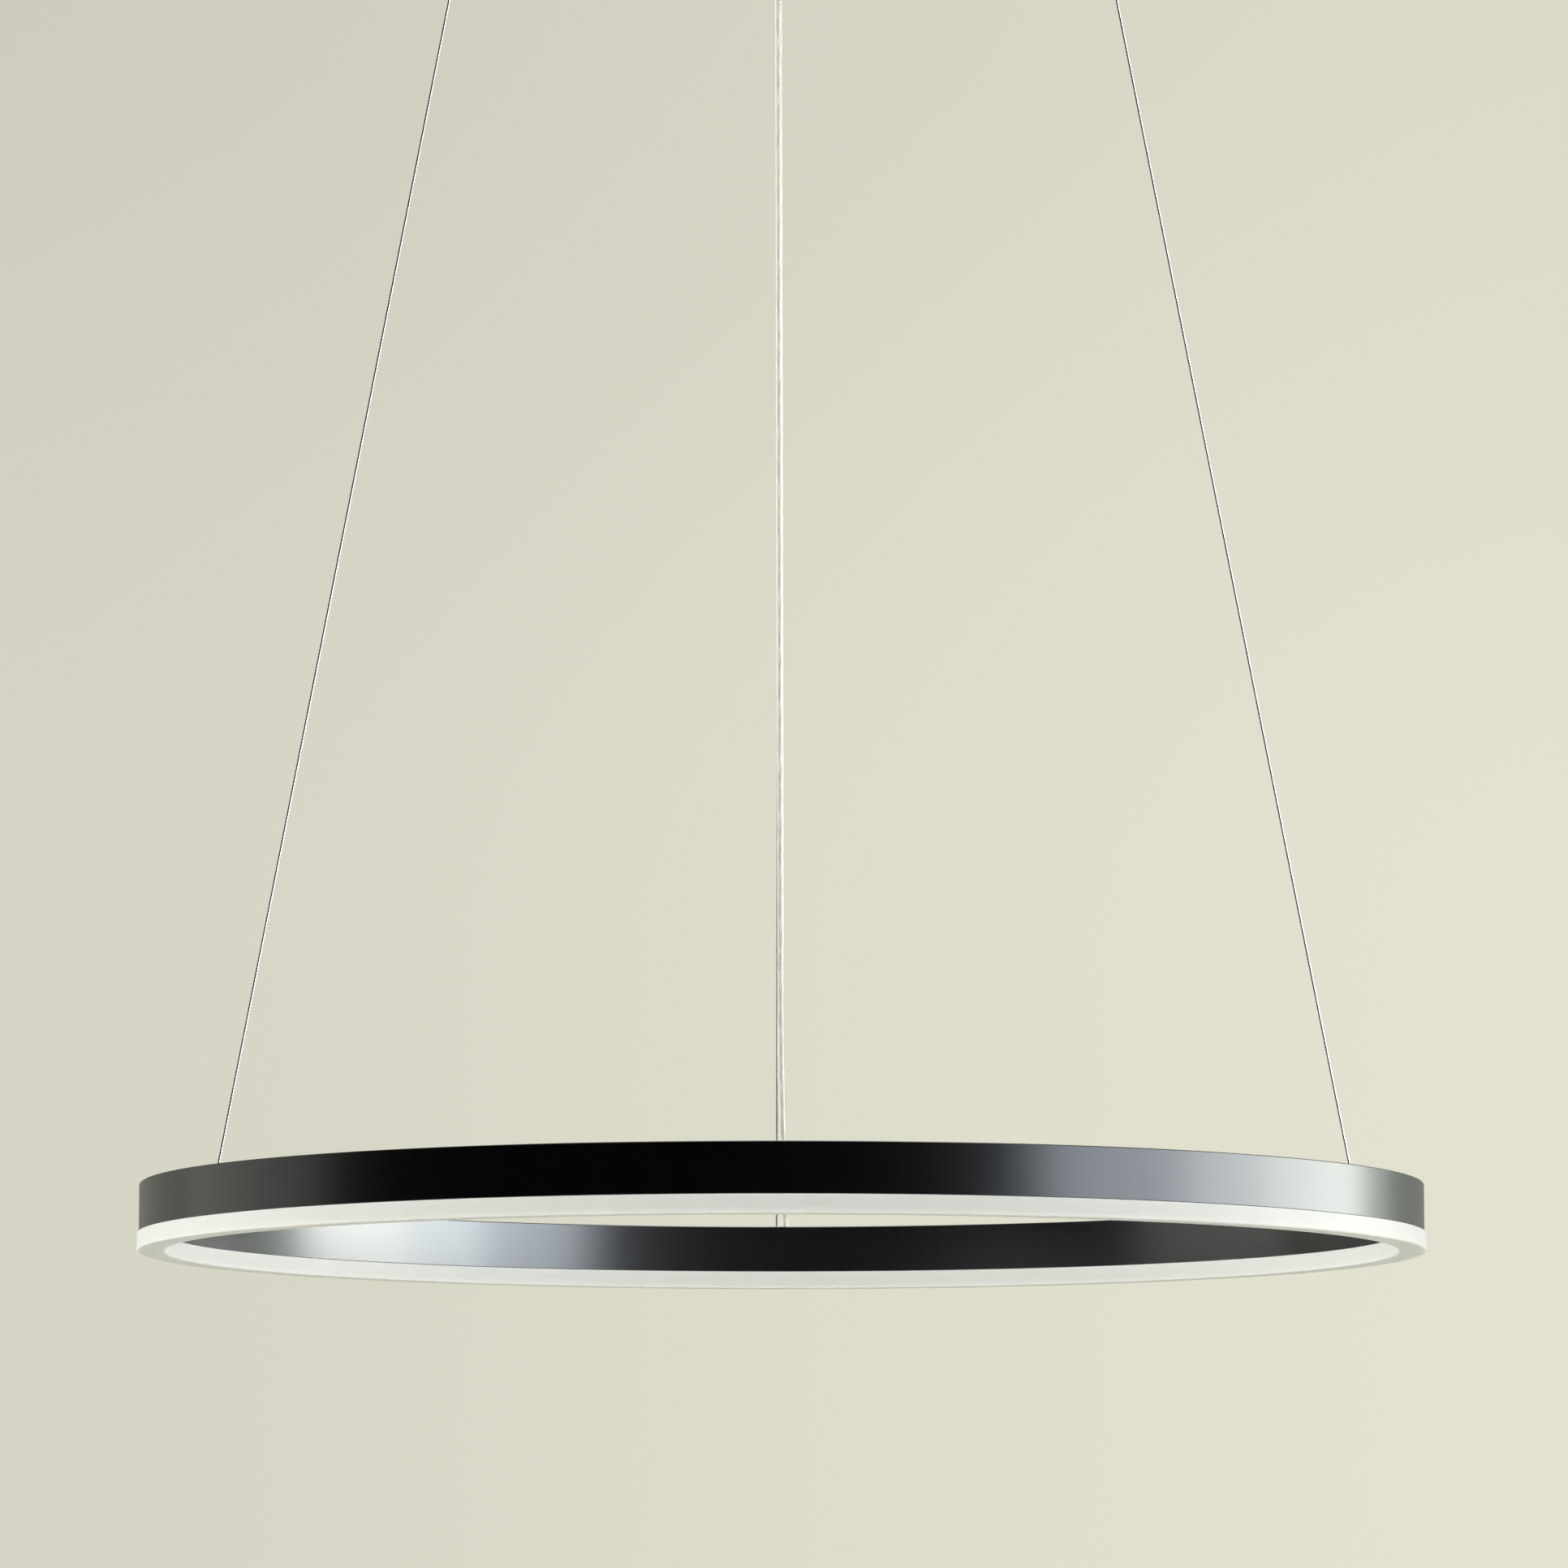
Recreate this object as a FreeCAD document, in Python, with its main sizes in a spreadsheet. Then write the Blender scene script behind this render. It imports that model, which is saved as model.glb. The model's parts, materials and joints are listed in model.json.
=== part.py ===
import FreeCAD, Part
import Sketcher
import math
import os
import re
from FreeCAD import Placement, Rotation, Vector

# Suspended LED ring light: a ceiling canopy, three steel wires held by swivelling grippers,
# a clear power cord and an aluminium ring that shines down through an opal diffuser.
# Millimetres, +Z up, origin at the centre of the ceiling face. Everything hangs below z = 0.

SIZES = {
    # aluminium band, a channel rolled to a circle
    "ring_outer_radius": 400.0,
    "band_width": 15.0,
    "band_height": 30.5,
    "band_wall": 1.5,
    "top_web": 2.0,
    "led_web": 1.5,
    "chamber_height": 14.0,
    "band_edge_break": 0.5,
    "snap_groove_depth": 0.5,
    "snap_groove_height": 2.0,
    "snap_groove_rise": 4.5,
    # opal diffuser, snapped in from below
    "diffuser_proud": 1.2,
    "diffuser_depth": 11.0,
    "diffuser_wall": 1.5,
    "diffuser_floor": 1.8,
    "diffuser_corner": 1.0,
    "leg_thickness": 1.3,
    "leg_height": 7.5,
    "leg_clearance": 0.15,
    "barb_reach": 0.35,
    "barb_play": 0.3,
    # light engine under the inner web
    "strip_width": 10.0,
    "strip_thickness": 0.4,
    "strip_gap_angle": 1.5,
    "chip_length": 3.5,
    "chip_width": 2.8,
    "chip_height": 0.8,
    "chip_pitch_angle": 3.0,
    # wires
    "wire_radius": 0.75,
    "suspension_height": 1500.0,
    "wire_tail": 16.0,
    "crimp_clearance": 0.02,
    "ferrule_ball_radius": 2.2,
    "ferrule_sleeve_radius": 1.6,
    "ferrule_length": 8.0,
    # anchors in the ring's top web
    "anchor_neck_radius": 4.2,
    "anchor_flange_radius": 5.4,
    "anchor_flange_height": 3.5,
    "anchor_mouth_radius": 2.5,
    "anchor_throat_radius": 1.75,
    "anchor_cone_height": 2.25,
    "anchor_clearance": 0.05,
    "cord_entry_offset": 5.7,
    "cord_entry_clearance": 0.5,
    "cord_entry_neck_radius": 3.6,
    "cord_entry_flange_radius": 4.6,
    "web_access_radius": 5.8,
    # wire gripper, measured along the wire from the centre of its ball
    "gripper_ball_radius": 4.0,
    "gripper_shank_radius": 2.2,
    "gripper_collar_drop": 6.5,
    "gripper_collar_height": 1.5,
    "gripper_plug_height": 2.5,
    "gripper_plug_clearance": 0.03,
    "gripper_bore_radius": 1.05,
    "gripper_barrel_radius": 4.5,
    "gripper_barrel_length": 20.0,
    "gripper_chamber_radius": 3.3,
    "gripper_cone_drop": 16.0,
    "gripper_cone_height": 7.0,
    "gripper_cone_small_radius": 2.6,
    "gripper_edge_break": 0.5,
    "ball_radius": 1.0,
    "ball_clearance": 0.03,
    # release nipple, a sleeve that carries the three balls
    "nipple_sleeve_radius": 2.1,
    "nipple_bore_radius": 1.05,
    "nipple_bore_clearance": 0.2,
    "nipple_window_clearance": 0.08,
    "nipple_top_drop": 18.0,
    "nipple_travel": 2.5,
    "nipple_stop_gap": 0.5,
    "nipple_head_radius": 3.2,
    "nipple_head_height": 2.0,
    "spring_wire": 0.5,
    # socket bush that holds a gripper in the canopy floor
    "socket_clearance": 0.15,
    "socket_opening_radius": 3.4,
    "bush_edge_break": 0.6,
    "bush_neck_radius": 7.0,
    "bush_neck_clearance": 0.1,
    "bush_flange_radius": 9.5,
    "bush_flange_height": 2.0,
    "bush_floor_to_ball": 2.5,
    "bush_rise": 5.0,
    "bush_nut_width": 18.0,
    "bush_nut_height": 3.0,
    "bush_wall_gap": 7.0,
    # canopy cup
    "canopy_radius": 100.0,
    "canopy_height": 40.0,
    "canopy_wall": 1.2,
    "canopy_corner": 4.0,
    # mounting bracket
    "bracket_width": 25.0,
    "bracket_sheet": 1.5,
    "bracket_ear_gap": 1.8,
    "bracket_ear_height": 16.0,
    "ceiling_slot_spacing": 132.0,
    "ceiling_slot_length": 20.0,
    "ceiling_slot_width": 5.0,
    "side_screw_depth": 9.0,
    "side_screw_radius": 2.0,
    "side_screw_length": 11.0,
    "side_screw_head_radius": 5.0,
    "side_screw_head_length": 5.0,
    "screw_clearance": 0.05,
    "screw_edge_break": 0.6,
    "wall_hole_clearance": 0.2,
    "ground_screw_inset": 11.5,
    "ground_screw_head_radius": 3.5,
    "ground_screw_head_height": 2.4,
    "ground_washer_radius": 4.5,
    "ground_washer_height": 1.0,
    # driver under the bracket
    "driver_length": 76.0,
    "driver_width": 42.0,
    "driver_height": 22.0,
    "driver_corner": 2.5,
    "driver_tab": 12.0,
    "driver_tab_height": 2.0,
    "driver_screw_radius": 1.5,
    "driver_screw_head_radius": 2.8,
    "driver_screw_head_height": 1.8,
    "driver_screw_inset": 6.0,
    "cover_height": 18.0,
    "cover_wall": 1.2,
    "cover_inset": 2.0,
    "cover_port_radius": 2.6,
    "terminal_length": 8.0,
    "terminal_width": 11.0,
    "terminal_height": 9.0,
    "terminal_place": 12.0,
    # cord gland in the canopy floor
    "gland_place_x": -3.0,
    "gland_place_y": 59.0,
    "gland_neck_radius": 4.0,
    "gland_flange_radius": 6.5,
    "gland_flange_height": 3.0,
    "gland_rise": 7.0,
    "gland_taper_drop": 9.0,
    "gland_tip_radius": 3.2,
    "gland_shoulder": 1.5,
    "gland_edge_break": 0.8,
    "gland_nut_width": 12.0,
    "gland_nut_height": 2.5,
    # clear two-core cord
    "cord_radius": 2.15,
    "cord_clearance": 0.15,
    # supply connector inside the ring
    "connector_length": 16.0,
    "connector_width": 8.0,
    "connector_height": 7.0,
    "connector_start": 24.0,
    "connector_inset": 1.2,
    "connector_drop": 12.0,
    "lead_radius": 0.6,
    "lead_spacing": 2.4,
    "lead_bend": 2.0,
    "lead_hole_radius": 2.6,
    "lead_reach": 7.8,
    "lead_run": 9.0,
}

FRONT_LEFT, FRONT_RIGHT, REAR = 210.0, 330.0, 90.0
WIRES = (("left", FRONT_LEFT), ("right", FRONT_RIGHT), ("rear", REAR))

doc = FreeCAD.newDocument("led_ring_chandelier")
sheet = doc.addObject("Spreadsheet::Sheet", "Sizes")
for row, (alias, value) in enumerate(SIZES.items(), start=1):
    sheet.set("A%d" % row, alias)
    sheet.set("B%d" % row, str(value))
    sheet.setAlias("B%d" % row, alias)
doc.recompute()

subparts = []


def size(alias):
    """The length or angle that a cell of the sheet holds."""
    return float(sheet.get(alias))


def formula(text):
    """A formula in the sheet's own names, such as "band_width / 2", as the document reads it."""
    def cell(word):
        return "Sizes." + word.group(0) if word.group(0) in SIZES else word.group(0)
    return re.sub(r"[a-z]\w*", cell, text)


def bind(item, **formulas):
    for name, text in formulas.items():
        item.setExpression(name, formula(text))
    return item


def keep(item, node):
    """Marks an object as one sub-part of the lamp, under its node name."""
    item.Label = node
    subparts.append(item)
    return item


def at(x=0.0, y=0.0, z=0.0, turn=0.0):
    return Placement(Vector(x, y, z), Rotation(Vector(0, 0, 1), turn))


def outline(sketch, loop):
    """A closed loop of straight edges; each corner is a pair of formulas from the sketch's origin."""
    first = sketch.GeometryCount
    count = len(loop)
    for k in range(count):
        start = Vector(10 * math.cos(k), 10 * math.sin(k), 0)
        end = Vector(10 * math.cos(k + 1), 10 * math.sin(k + 1), 0)
        sketch.addGeometry(Part.LineSegment(start, end), False)
    for k in range(count):
        sketch.addConstraint(Sketcher.Constraint("Coincident", first + k, 2, first + (k + 1) % count, 1))
    for k, corner in enumerate(loop):
        for axis, text in zip(("DistanceX", "DistanceY"), corner):
            if text == "0":
                line = -2 if axis == "DistanceX" else -1
                sketch.addConstraint(Sketcher.Constraint("PointOnObject", first + k, 1, line))
                continue
            number = sketch.addConstraint(Sketcher.Constraint(axis, -1, 1, first + k, 1, 1.0))
            sketch.setExpression("Constraints[%d]" % number, formula(text))


def sketch_on(body, plane, *loops):
    sketch = body.newObject("Sketcher::SketchObject", body.Name + "_outline")
    origin_plane = [part for part in body.Origin.OriginFeatures if part.Role == plane][0]
    sketch.AttachmentSupport = [(origin_plane, "")]
    sketch.MapMode = "FlatFace"
    for loop in loops:
        outline(sketch, loop)
    return sketch


def turned(name, *loops):
    """A body of revolution about its own Z axis; corners are (radius, height) formulas."""
    body = doc.addObject("PartDesign::Body", name)
    sketch = sketch_on(body, "XZ_Plane", *loops)
    spin = body.newObject("PartDesign::Revolution", name + "_spin")
    spin.Profile = sketch
    spin.ReferenceAxis = (sketch, ["V_Axis"])
    spin.Angle = 360
    doc.recompute()
    return body


def round_edges(body, radius, wanted):
    """Fillets the edges that wanted(edge) picks."""
    solid = body.Tip
    names = ["Edge%d" % (k + 1) for k, edge in enumerate(solid.Shape.Edges) if wanted(edge)]
    fillet = body.newObject("PartDesign::Fillet", body.Name + "_round")
    fillet.Base = (solid, names)
    bind(fillet, Radius=radius)
    doc.recompute()
    return body


def circle_at(radius, height):
    def wanted(edge):
        curve = edge.Curve
        return (isinstance(curve, Part.Circle) and abs(curve.Radius - radius) < 1e-3
                and abs(curve.Center.z - height) < 1e-3)
    return wanted


def cylinder(name, radius, height, place=Placement()):
    item = doc.addObject("Part::Cylinder", name)
    item.Placement = place
    return bind(item, Radius=radius, Height=height)


def block(name, length, width, height, place=Placement()):
    item = doc.addObject("Part::Box", name)
    item.Placement = place
    return bind(item, Length=length, Width=width, Height=height)


def joined(name, pieces):
    item = doc.addObject("Part::MultiFuse", name)
    item.Shapes = pieces
    item.Refine = True
    return item


def cut(name, base, tools):
    item = doc.addObject("Part::Cut", name)
    item.Base = base
    item.Tool = tools[0] if len(tools) == 1 else joined(name + "_tools", tools)
    return item


def placed_set(name, item, places):
    """One node of separate, equal solids: a copy of item at each place."""
    doc.recompute()
    group = doc.addObject("Part::Feature", name)
    solids = []
    for place in places:
        solid = item.Shape.copy()
        solid.Placement = place.multiply(solid.Placement)
        solids.append(solid)
    group.Shape = Part.makeCompound(solids)
    return keep(group, name)


def hexagon(name, across_flats, height, bore, place=Placement()):
    prism = doc.addObject("Part::Prism", name + "_hexagon")
    prism.Polygon = 6
    bind(prism, Circumradius="(%s) / sqrt(3)" % across_flats, Height=height)
    hole = cylinder(name + "_bore", bore, height)
    item = cut(name, prism, [hole])
    item.Placement = place
    return item


def route(points, bends):
    """Straight runs joined by tangent arcs; bends gives the corners whose radius is set by hand."""
    points = [Vector(*point) for point in points]
    edges = []
    radii = []
    start = points[0]
    for k in range(1, len(points) - 1):
        before = points[k] - points[k - 1]
        after = points[k + 1] - points[k]
        half_turn = before.getAngle(after) / 2
        reach = 0.45 * min(before.Length, after.Length)
        radius = reach / math.tan(half_turn)
        if k in bends:
            radius = bends[k]
            reach = radius * math.tan(half_turn)
        before.normalize()
        after.normalize()
        corner = points[k]
        enter = corner - before * reach
        leave = corner + after * reach
        inward = after - before
        inward.normalize()
        middle = corner + inward * (radius / math.cos(half_turn) - radius)
        edges.append(Part.LineSegment(start, enter).toShape())
        edges.append(Part.Arc(enter, middle, leave).toShape())
        start = leave
        radii.append(radius)
    edges.append(Part.LineSegment(start, points[-1]).toShape())
    return Part.Wire(edges), radii


def tube(node, points, radius, bends=None):
    """A round cord along a route, as its own sub-part; prints its length and its bends."""
    wire, radii = route(points, bends or {})
    direction = Vector(*points[1]) - Vector(*points[0])
    ring = Part.Wire([Part.makeCircle(radius, Vector(*points[0]), direction)])
    item = doc.addObject("Part::Feature", node)
    item.Shape = wire.makePipeShell([ring], True, False)
    ideal = math.pi * radius ** 2 * wire.Length
    print("%s: length %.1f, bends %s, volume over section times length %.5f"
          % (node, wire.Length, [round(r, 1) for r in radii], item.Shape.Volume / ideal))
    return keep(item, node)


# Heights and places that several pieces share, worked out from the sizes above.
ball_level = -size("canopy_height") + size("bush_floor_to_ball")
wire_foot_radius = size("ring_outer_radius") - size("band_width") / 2
canopy_wire_radius = (size("canopy_radius") - size("canopy_corner") - size("bush_nut_width") / 2
                      - size("bush_wall_gap"))
wire_spread = wire_foot_radius - canopy_wire_radius
wire_tilt = math.degrees(math.atan2(wire_spread, size("suspension_height")))
wire_length = math.hypot(wire_spread, size("suspension_height"))
anchor_depth = size("top_web") + size("anchor_flange_height")
foot_level = ball_level - size("suspension_height")
ring_top = foot_level + anchor_depth
ring_bottom = ring_top - size("band_height")
floor_top = -size("canopy_height") + size("canopy_wall")
strip_level = ring_top - size("top_web") - size("chamber_height") - size("led_web")
inside_level = ring_top - size("connector_drop")


def around(angle, radius, level):
    spin = math.radians(angle)
    return at(radius * math.cos(spin), radius * math.sin(spin), level, angle)


def along_wire(angle):
    """The frame of one wire: origin at its gripper's ball, local -Z down the wire."""
    spin = math.radians(angle)
    base = around(angle, canopy_wire_radius, ball_level).Base
    lean = Rotation(Vector(-math.sin(spin), math.cos(spin), 0), -wire_tilt)
    return Placement(base, lean)


# The supply connector lies in line with the cord's last run, from the rear anchor to the connector's face.
cord_run = size("connector_start") - size("cord_entry_offset")
connector_turn = math.degrees(math.atan2(-size("connector_inset"), cord_run))
connector_frame = at(size("connector_start"), wire_foot_radius - size("connector_inset"), inside_level,
                     connector_turn)

# Canopy cup: spun steel, open to the ceiling, powder coated black.
cup = turned("canopy_cup_shell", [
    ("0", "0"),
    ("canopy_radius", "0"),
    ("canopy_radius", "canopy_height"),
    ("canopy_radius - canopy_wall", "canopy_height"),
    ("canopy_radius - canopy_wall", "canopy_wall"),
    ("0", "canopy_wall"),
])
round_edges(cup, "canopy_corner", circle_at(size("canopy_radius"), 0.0))
round_edges(cup, "canopy_corner - canopy_wall",
            circle_at(size("canopy_radius") - size("canopy_wall"), size("canopy_wall")))
cup_holes = []
for side, angle in WIRES:
    cup_holes.append(cylinder("bush_hole_" + side, "bush_neck_radius + bush_neck_clearance",
                              "canopy_wall * 3", around(angle, canopy_wire_radius, -size("canopy_wall"))))
gland_spot = (size("gland_place_x"), size("gland_place_y"))
cup_holes.append(cylinder("gland_hole", "gland_neck_radius + bush_neck_clearance", "canopy_wall * 3",
                          at(gland_spot[0], gland_spot[1], -size("canopy_wall"))))
screw_level = size("canopy_height") - size("side_screw_depth")
across = Rotation(Vector(0, 1, 0), 90)
outside_wall = Vector(-size("canopy_radius") - size("canopy_wall"), 0, screw_level)
cup_holes.append(cylinder("side_screw_holes", "side_screw_radius + wall_hole_clearance",
                          "2 * (canopy_radius + canopy_wall)", Placement(outside_wall, across)))
canopy = keep(cut("canopy_cup", cup, cup_holes), "canopy_cup")
canopy.Placement = at(z=-size("canopy_height"))

# Mounting bracket: a strip of steel screwed to the ceiling, its ends bent down into tapped ears.
ear_reach = "(canopy_radius - canopy_wall - bracket_ear_gap)"
strip = doc.addObject("PartDesign::Body", "bracket_strip")
strip_outline = sketch_on(strip, "XZ_Plane", [
    ("-" + ear_reach, "-bracket_ear_height"),
    ("-" + ear_reach, "0"),
    (ear_reach, "0"),
    (ear_reach, "-bracket_ear_height"),
    (ear_reach + " - bracket_sheet", "-bracket_ear_height"),
    (ear_reach + " - bracket_sheet", "-bracket_sheet"),
    ("-" + ear_reach + " + bracket_sheet", "-bracket_sheet"),
    ("-" + ear_reach + " + bracket_sheet", "-bracket_ear_height"),
])
pad = strip.newObject("PartDesign::Pad", "bracket_pad")
pad.Profile = strip_outline
pad.Midplane = True
bind(pad, Length="bracket_width")
doc.recompute()
half_bar = size("canopy_radius") - size("canopy_wall") - size("bracket_ear_gap")


def bend_edge(edge):
    """An outer bend: a straight edge across the strip at its end, on the ceiling face."""
    ends = [vertex.Point for vertex in edge.Vertexes]
    along = abs(ends[0].x - ends[1].x) < 1e-3
    return along and all(abs(abs(end.x) - half_bar) < 1e-3 and abs(end.z) < 1e-3 for end in ends)


round_edges(strip, "bracket_sheet * 1.2", bend_edge)
ground_place = half_bar - size("bracket_sheet") - size("ground_screw_inset")
bracket_cuts = []
below_strip = -2 * size("bracket_sheet")
half_run = (size("ceiling_slot_length") - size("ceiling_slot_width")) / 2
driver_screw_place = size("driver_length") / 2 + size("driver_screw_inset")
for side in (-1, 1):
    middle = side * size("ceiling_slot_spacing") / 2
    for end in (-1, 1):
        bracket_cuts.append(cylinder("slot_end", "ceiling_slot_width / 2", "bracket_sheet * 3",
                                     at(middle + end * half_run, 0, below_strip)))
    bracket_cuts.append(block("slot_run", "ceiling_slot_length - ceiling_slot_width", "ceiling_slot_width",
                              "bracket_sheet * 3",
                              at(middle - half_run, -size("ceiling_slot_width") / 2, below_strip)))
    bracket_cuts.append(cylinder("driver_screw_hole", "driver_screw_radius + screw_clearance",
                                 "bracket_sheet * 3", at(side * driver_screw_place, 0, below_strip)))
bracket_cuts.append(cylinder("ear_holes", "side_screw_radius + screw_clearance", "canopy_radius * 2",
                             Placement(Vector(-size("canopy_radius"), 0, -size("side_screw_depth")), across)))
bracket_cuts.append(cylinder("ground_hole", "side_screw_radius + screw_clearance", "bracket_sheet * 3",
                             at(-ground_place, 0, below_strip)))
bracket = keep(cut("mounting_bracket", strip, bracket_cuts), "mounting_bracket")

# Two knurled screws hold the cup on the ears.
side_screw = turned("side_screw_shape", [
    ("0", "0"),
    ("side_screw_head_radius - screw_edge_break", "0"),
    ("side_screw_head_radius", "screw_edge_break"),
    ("side_screw_head_radius", "side_screw_head_length"),
    ("side_screw_radius", "side_screw_head_length"),
    ("side_screw_radius", "side_screw_head_length + side_screw_length"),
    ("0", "side_screw_head_length + side_screw_length"),
])
head_out = size("canopy_radius") + size("screw_clearance") + size("side_screw_head_length")
placed_set("canopy_side_screws", side_screw, [
    Placement(Vector(side * head_out, 0, -size("side_screw_depth")), Rotation(Vector(0, 1, 0), -90 * side))
    for side in (-1, 1)
])

# Earth screw with its washer under the bracket.
ground_screw_end = "ground_screw_head_height + ground_washer_height + bracket_sheet - screw_clearance"
ground_screw = turned("ground_screw", [
    ("0", "0"),
    ("ground_screw_head_radius - screw_edge_break", "0"),
    ("ground_screw_head_radius", "screw_edge_break"),
    ("ground_screw_head_radius", "ground_screw_head_height"),
    ("side_screw_radius", "ground_screw_head_height"),
    ("side_screw_radius", ground_screw_end),
    ("0", ground_screw_end),
])
washer_level = -size("bracket_sheet") - size("ground_washer_height")
ground_screw.Placement = at(-ground_place, 0, washer_level - size("ground_screw_head_height"))
keep(ground_screw, "ground_screw")
washer_hole = cylinder("washer_hole", "side_screw_radius + wall_hole_clearance", "ground_washer_height")
washer_disc = cylinder("washer_disc", "ground_washer_radius", "ground_washer_height")
washer = cut("ground_washer", washer_disc, [washer_hole])
washer.Placement = at(-ground_place, 0, washer_level)
keep(washer, "ground_washer")

# LED driver: a plastic case with a screw tab and covered terminals at each end.
driver_top = -size("bracket_sheet")
half_driver = size("driver_length") / 2
case_block = block("driver_block", "driver_length", "driver_width", "driver_height",
                   at(-half_driver, -size("driver_width") / 2, driver_top - size("driver_height")))
doc.recompute()
case_round = doc.addObject("Part::Fillet", "driver_case_round")
case_round.Base = case_block
upright = []
for number, edge in enumerate(case_block.Shape.Edges, start=1):
    low, high = edge.Vertexes[0].Point, edge.Vertexes[1].Point
    if abs(low.z - high.z) > 1 or max(low.z, high.z) < driver_top - 1:
        upright.append((number, size("driver_corner"), size("driver_corner")))
case_round.Edges = upright
tab_plate = block("driver_tabs", "driver_length + 2 * driver_tab", "bracket_width", "driver_tab_height",
                  at(-half_driver - size("driver_tab"), -size("bracket_width") / 2,
                     driver_top - size("driver_tab_height")))
tab_holes = [
    cylinder("tab_hole", "driver_screw_radius + wall_hole_clearance", "driver_tab_height * 3",
             at(side * driver_screw_place, 0, driver_top - 2 * size("driver_tab_height")))
    for side in (-1, 1)
]
keep(cut("driver_case", joined("driver_body", [case_round, tab_plate]), tab_holes), "driver_case")

half_cover = size("driver_width") / 2 - size("cover_inset")
cover_shell = block("cover_outside", "driver_tab", "driver_width - 2 * cover_inset", "cover_height")
cover_hollow = block("cover_inside", "driver_tab - cover_wall",
                     "driver_width - 2 * (cover_inset + cover_wall)", "cover_height - cover_wall",
                     at(0, size("cover_wall"), size("cover_wall")))
port_place = Placement(
    Vector(size("driver_tab") / 2, half_cover + size("terminal_place"),
           size("cover_height") - size("terminal_height") / 2), across)
other_port_place = at(y=-2 * size("terminal_place")).multiply(port_place)
cover_ports = [cylinder("cover_port", "cover_port_radius", "driver_tab", place)
               for place in (port_place, other_port_place)]
end_cover = cut("end_cover_shape", cover_shell, [cover_hollow] + cover_ports)
cover_level = driver_top - size("driver_tab_height") - size("cover_height")
placed_set("driver_end_covers", end_cover, [
    at(half_driver, -half_cover, cover_level),
    at(-half_driver, half_cover, cover_level, 180),
])

terminal = block("terminal_shape", "terminal_length", "terminal_width", "terminal_height")
terminal_level = driver_top - size("driver_tab_height") - size("terminal_height")
terminal_aside = size("terminal_place") - size("terminal_width") / 2
placed_set("driver_terminals", terminal, [
    at(half_driver, terminal_aside, terminal_level),
    at(-half_driver - size("terminal_length"), terminal_aside, terminal_level),
])

driver_screw_end = "driver_screw_head_height + driver_tab_height + bracket_sheet - screw_clearance"
driver_screw = turned("driver_screw_shape", [
    ("0", "0"),
    ("driver_screw_head_radius - screw_edge_break", "0"),
    ("driver_screw_head_radius", "screw_edge_break"),
    ("driver_screw_head_radius", "driver_screw_head_height"),
    ("driver_screw_radius", "driver_screw_head_height"),
    ("driver_screw_radius", driver_screw_end),
    ("0", driver_screw_end),
])
placed_set("driver_screws", driver_screw, [
    at(side * driver_screw_place, 0,
       driver_top - size("driver_tab_height") - size("driver_screw_head_height"))
    for side in (-1, 1)
])

# Socket bushes in the canopy floor: each holds a gripper's ball and lets it lean.
seat = "(gripper_ball_radius + socket_clearance)"
seat_depth = "sqrt(pow(gripper_ball_radius + socket_clearance; 2) - pow(socket_opening_radius; 2))"
bush = turned("socket_bush_blank", [
    ("socket_opening_radius", "-" + seat_depth),
    ("socket_opening_radius + (bush_floor_to_ball + bush_flange_height - " + seat_depth + ")",
     "-(bush_floor_to_ball + bush_flange_height)"),
    ("bush_flange_radius - bush_edge_break", "-(bush_floor_to_ball + bush_flange_height)"),
    ("bush_flange_radius", "-(bush_floor_to_ball + bush_flange_height) + bush_edge_break"),
    ("bush_flange_radius", "-bush_floor_to_ball"),
    ("bush_neck_radius", "-bush_floor_to_ball"),
    ("bush_neck_radius", "bush_rise"),
    (seat, "bush_rise"),
    (seat, "0"),
    ("socket_opening_radius", "0"),
])
seat_ball = doc.addObject("Part::Sphere", "socket_seat")
bind(seat_ball, Radius=seat)
placed_set("socket_bushes", cut("socket_bush_shape", bush, [seat_ball]),
           [around(angle, canopy_wire_radius, ball_level) for side, angle in WIRES])
bush_nut = hexagon("bush_nut_shape", "bush_nut_width", "bush_nut_height",
                   "bush_neck_radius + screw_clearance")
placed_set("bush_nuts", bush_nut,
           [around(angle, canopy_wire_radius, floor_top).multiply(at(turn=30)) for side, angle in WIRES])

# Cord gland: a black strain relief that tapers down along the cord.
gland_bore = "cord_radius + cord_clearance"
gland = turned("cord_gland", [
    (gland_bore, "-gland_flange_height - gland_taper_drop"),
    ("gland_tip_radius", "-gland_flange_height - gland_taper_drop"),
    ("gland_flange_radius - gland_shoulder", "-gland_flange_height"),
    ("gland_flange_radius", "-gland_flange_height + gland_edge_break"),
    ("gland_flange_radius", "0"),
    ("gland_neck_radius", "0"),
    ("gland_neck_radius", "gland_rise"),
    (gland_bore, "gland_rise"),
])
gland.Placement = at(gland_spot[0], gland_spot[1], -size("canopy_height"))
keep(gland, "cord_gland")
gland_nut = hexagon("gland_nut", "gland_nut_width", "gland_nut_height", "gland_neck_radius + screw_clearance",
                    at(gland_spot[0], gland_spot[1], floor_top))
keep(gland_nut, "gland_nut")

# Wire anchors: turned steel bushes drawn up against the underside of the ring's top web.
anchor_bottom = "(top_web + anchor_flange_height)"


def wire_void(name):
    """What the wire and its bead leave free in an anchor: a funnel above and a cone for the bead below."""
    return turned(name, [
        ("0", "0"),
        ("anchor_mouth_radius", "0"),
        ("anchor_throat_radius", "-" + anchor_bottom + " + anchor_cone_height"),
        ("anchor_throat_radius + anchor_cone_height", "-" + anchor_bottom),
        ("0", "-" + anchor_bottom),
    ])


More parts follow.
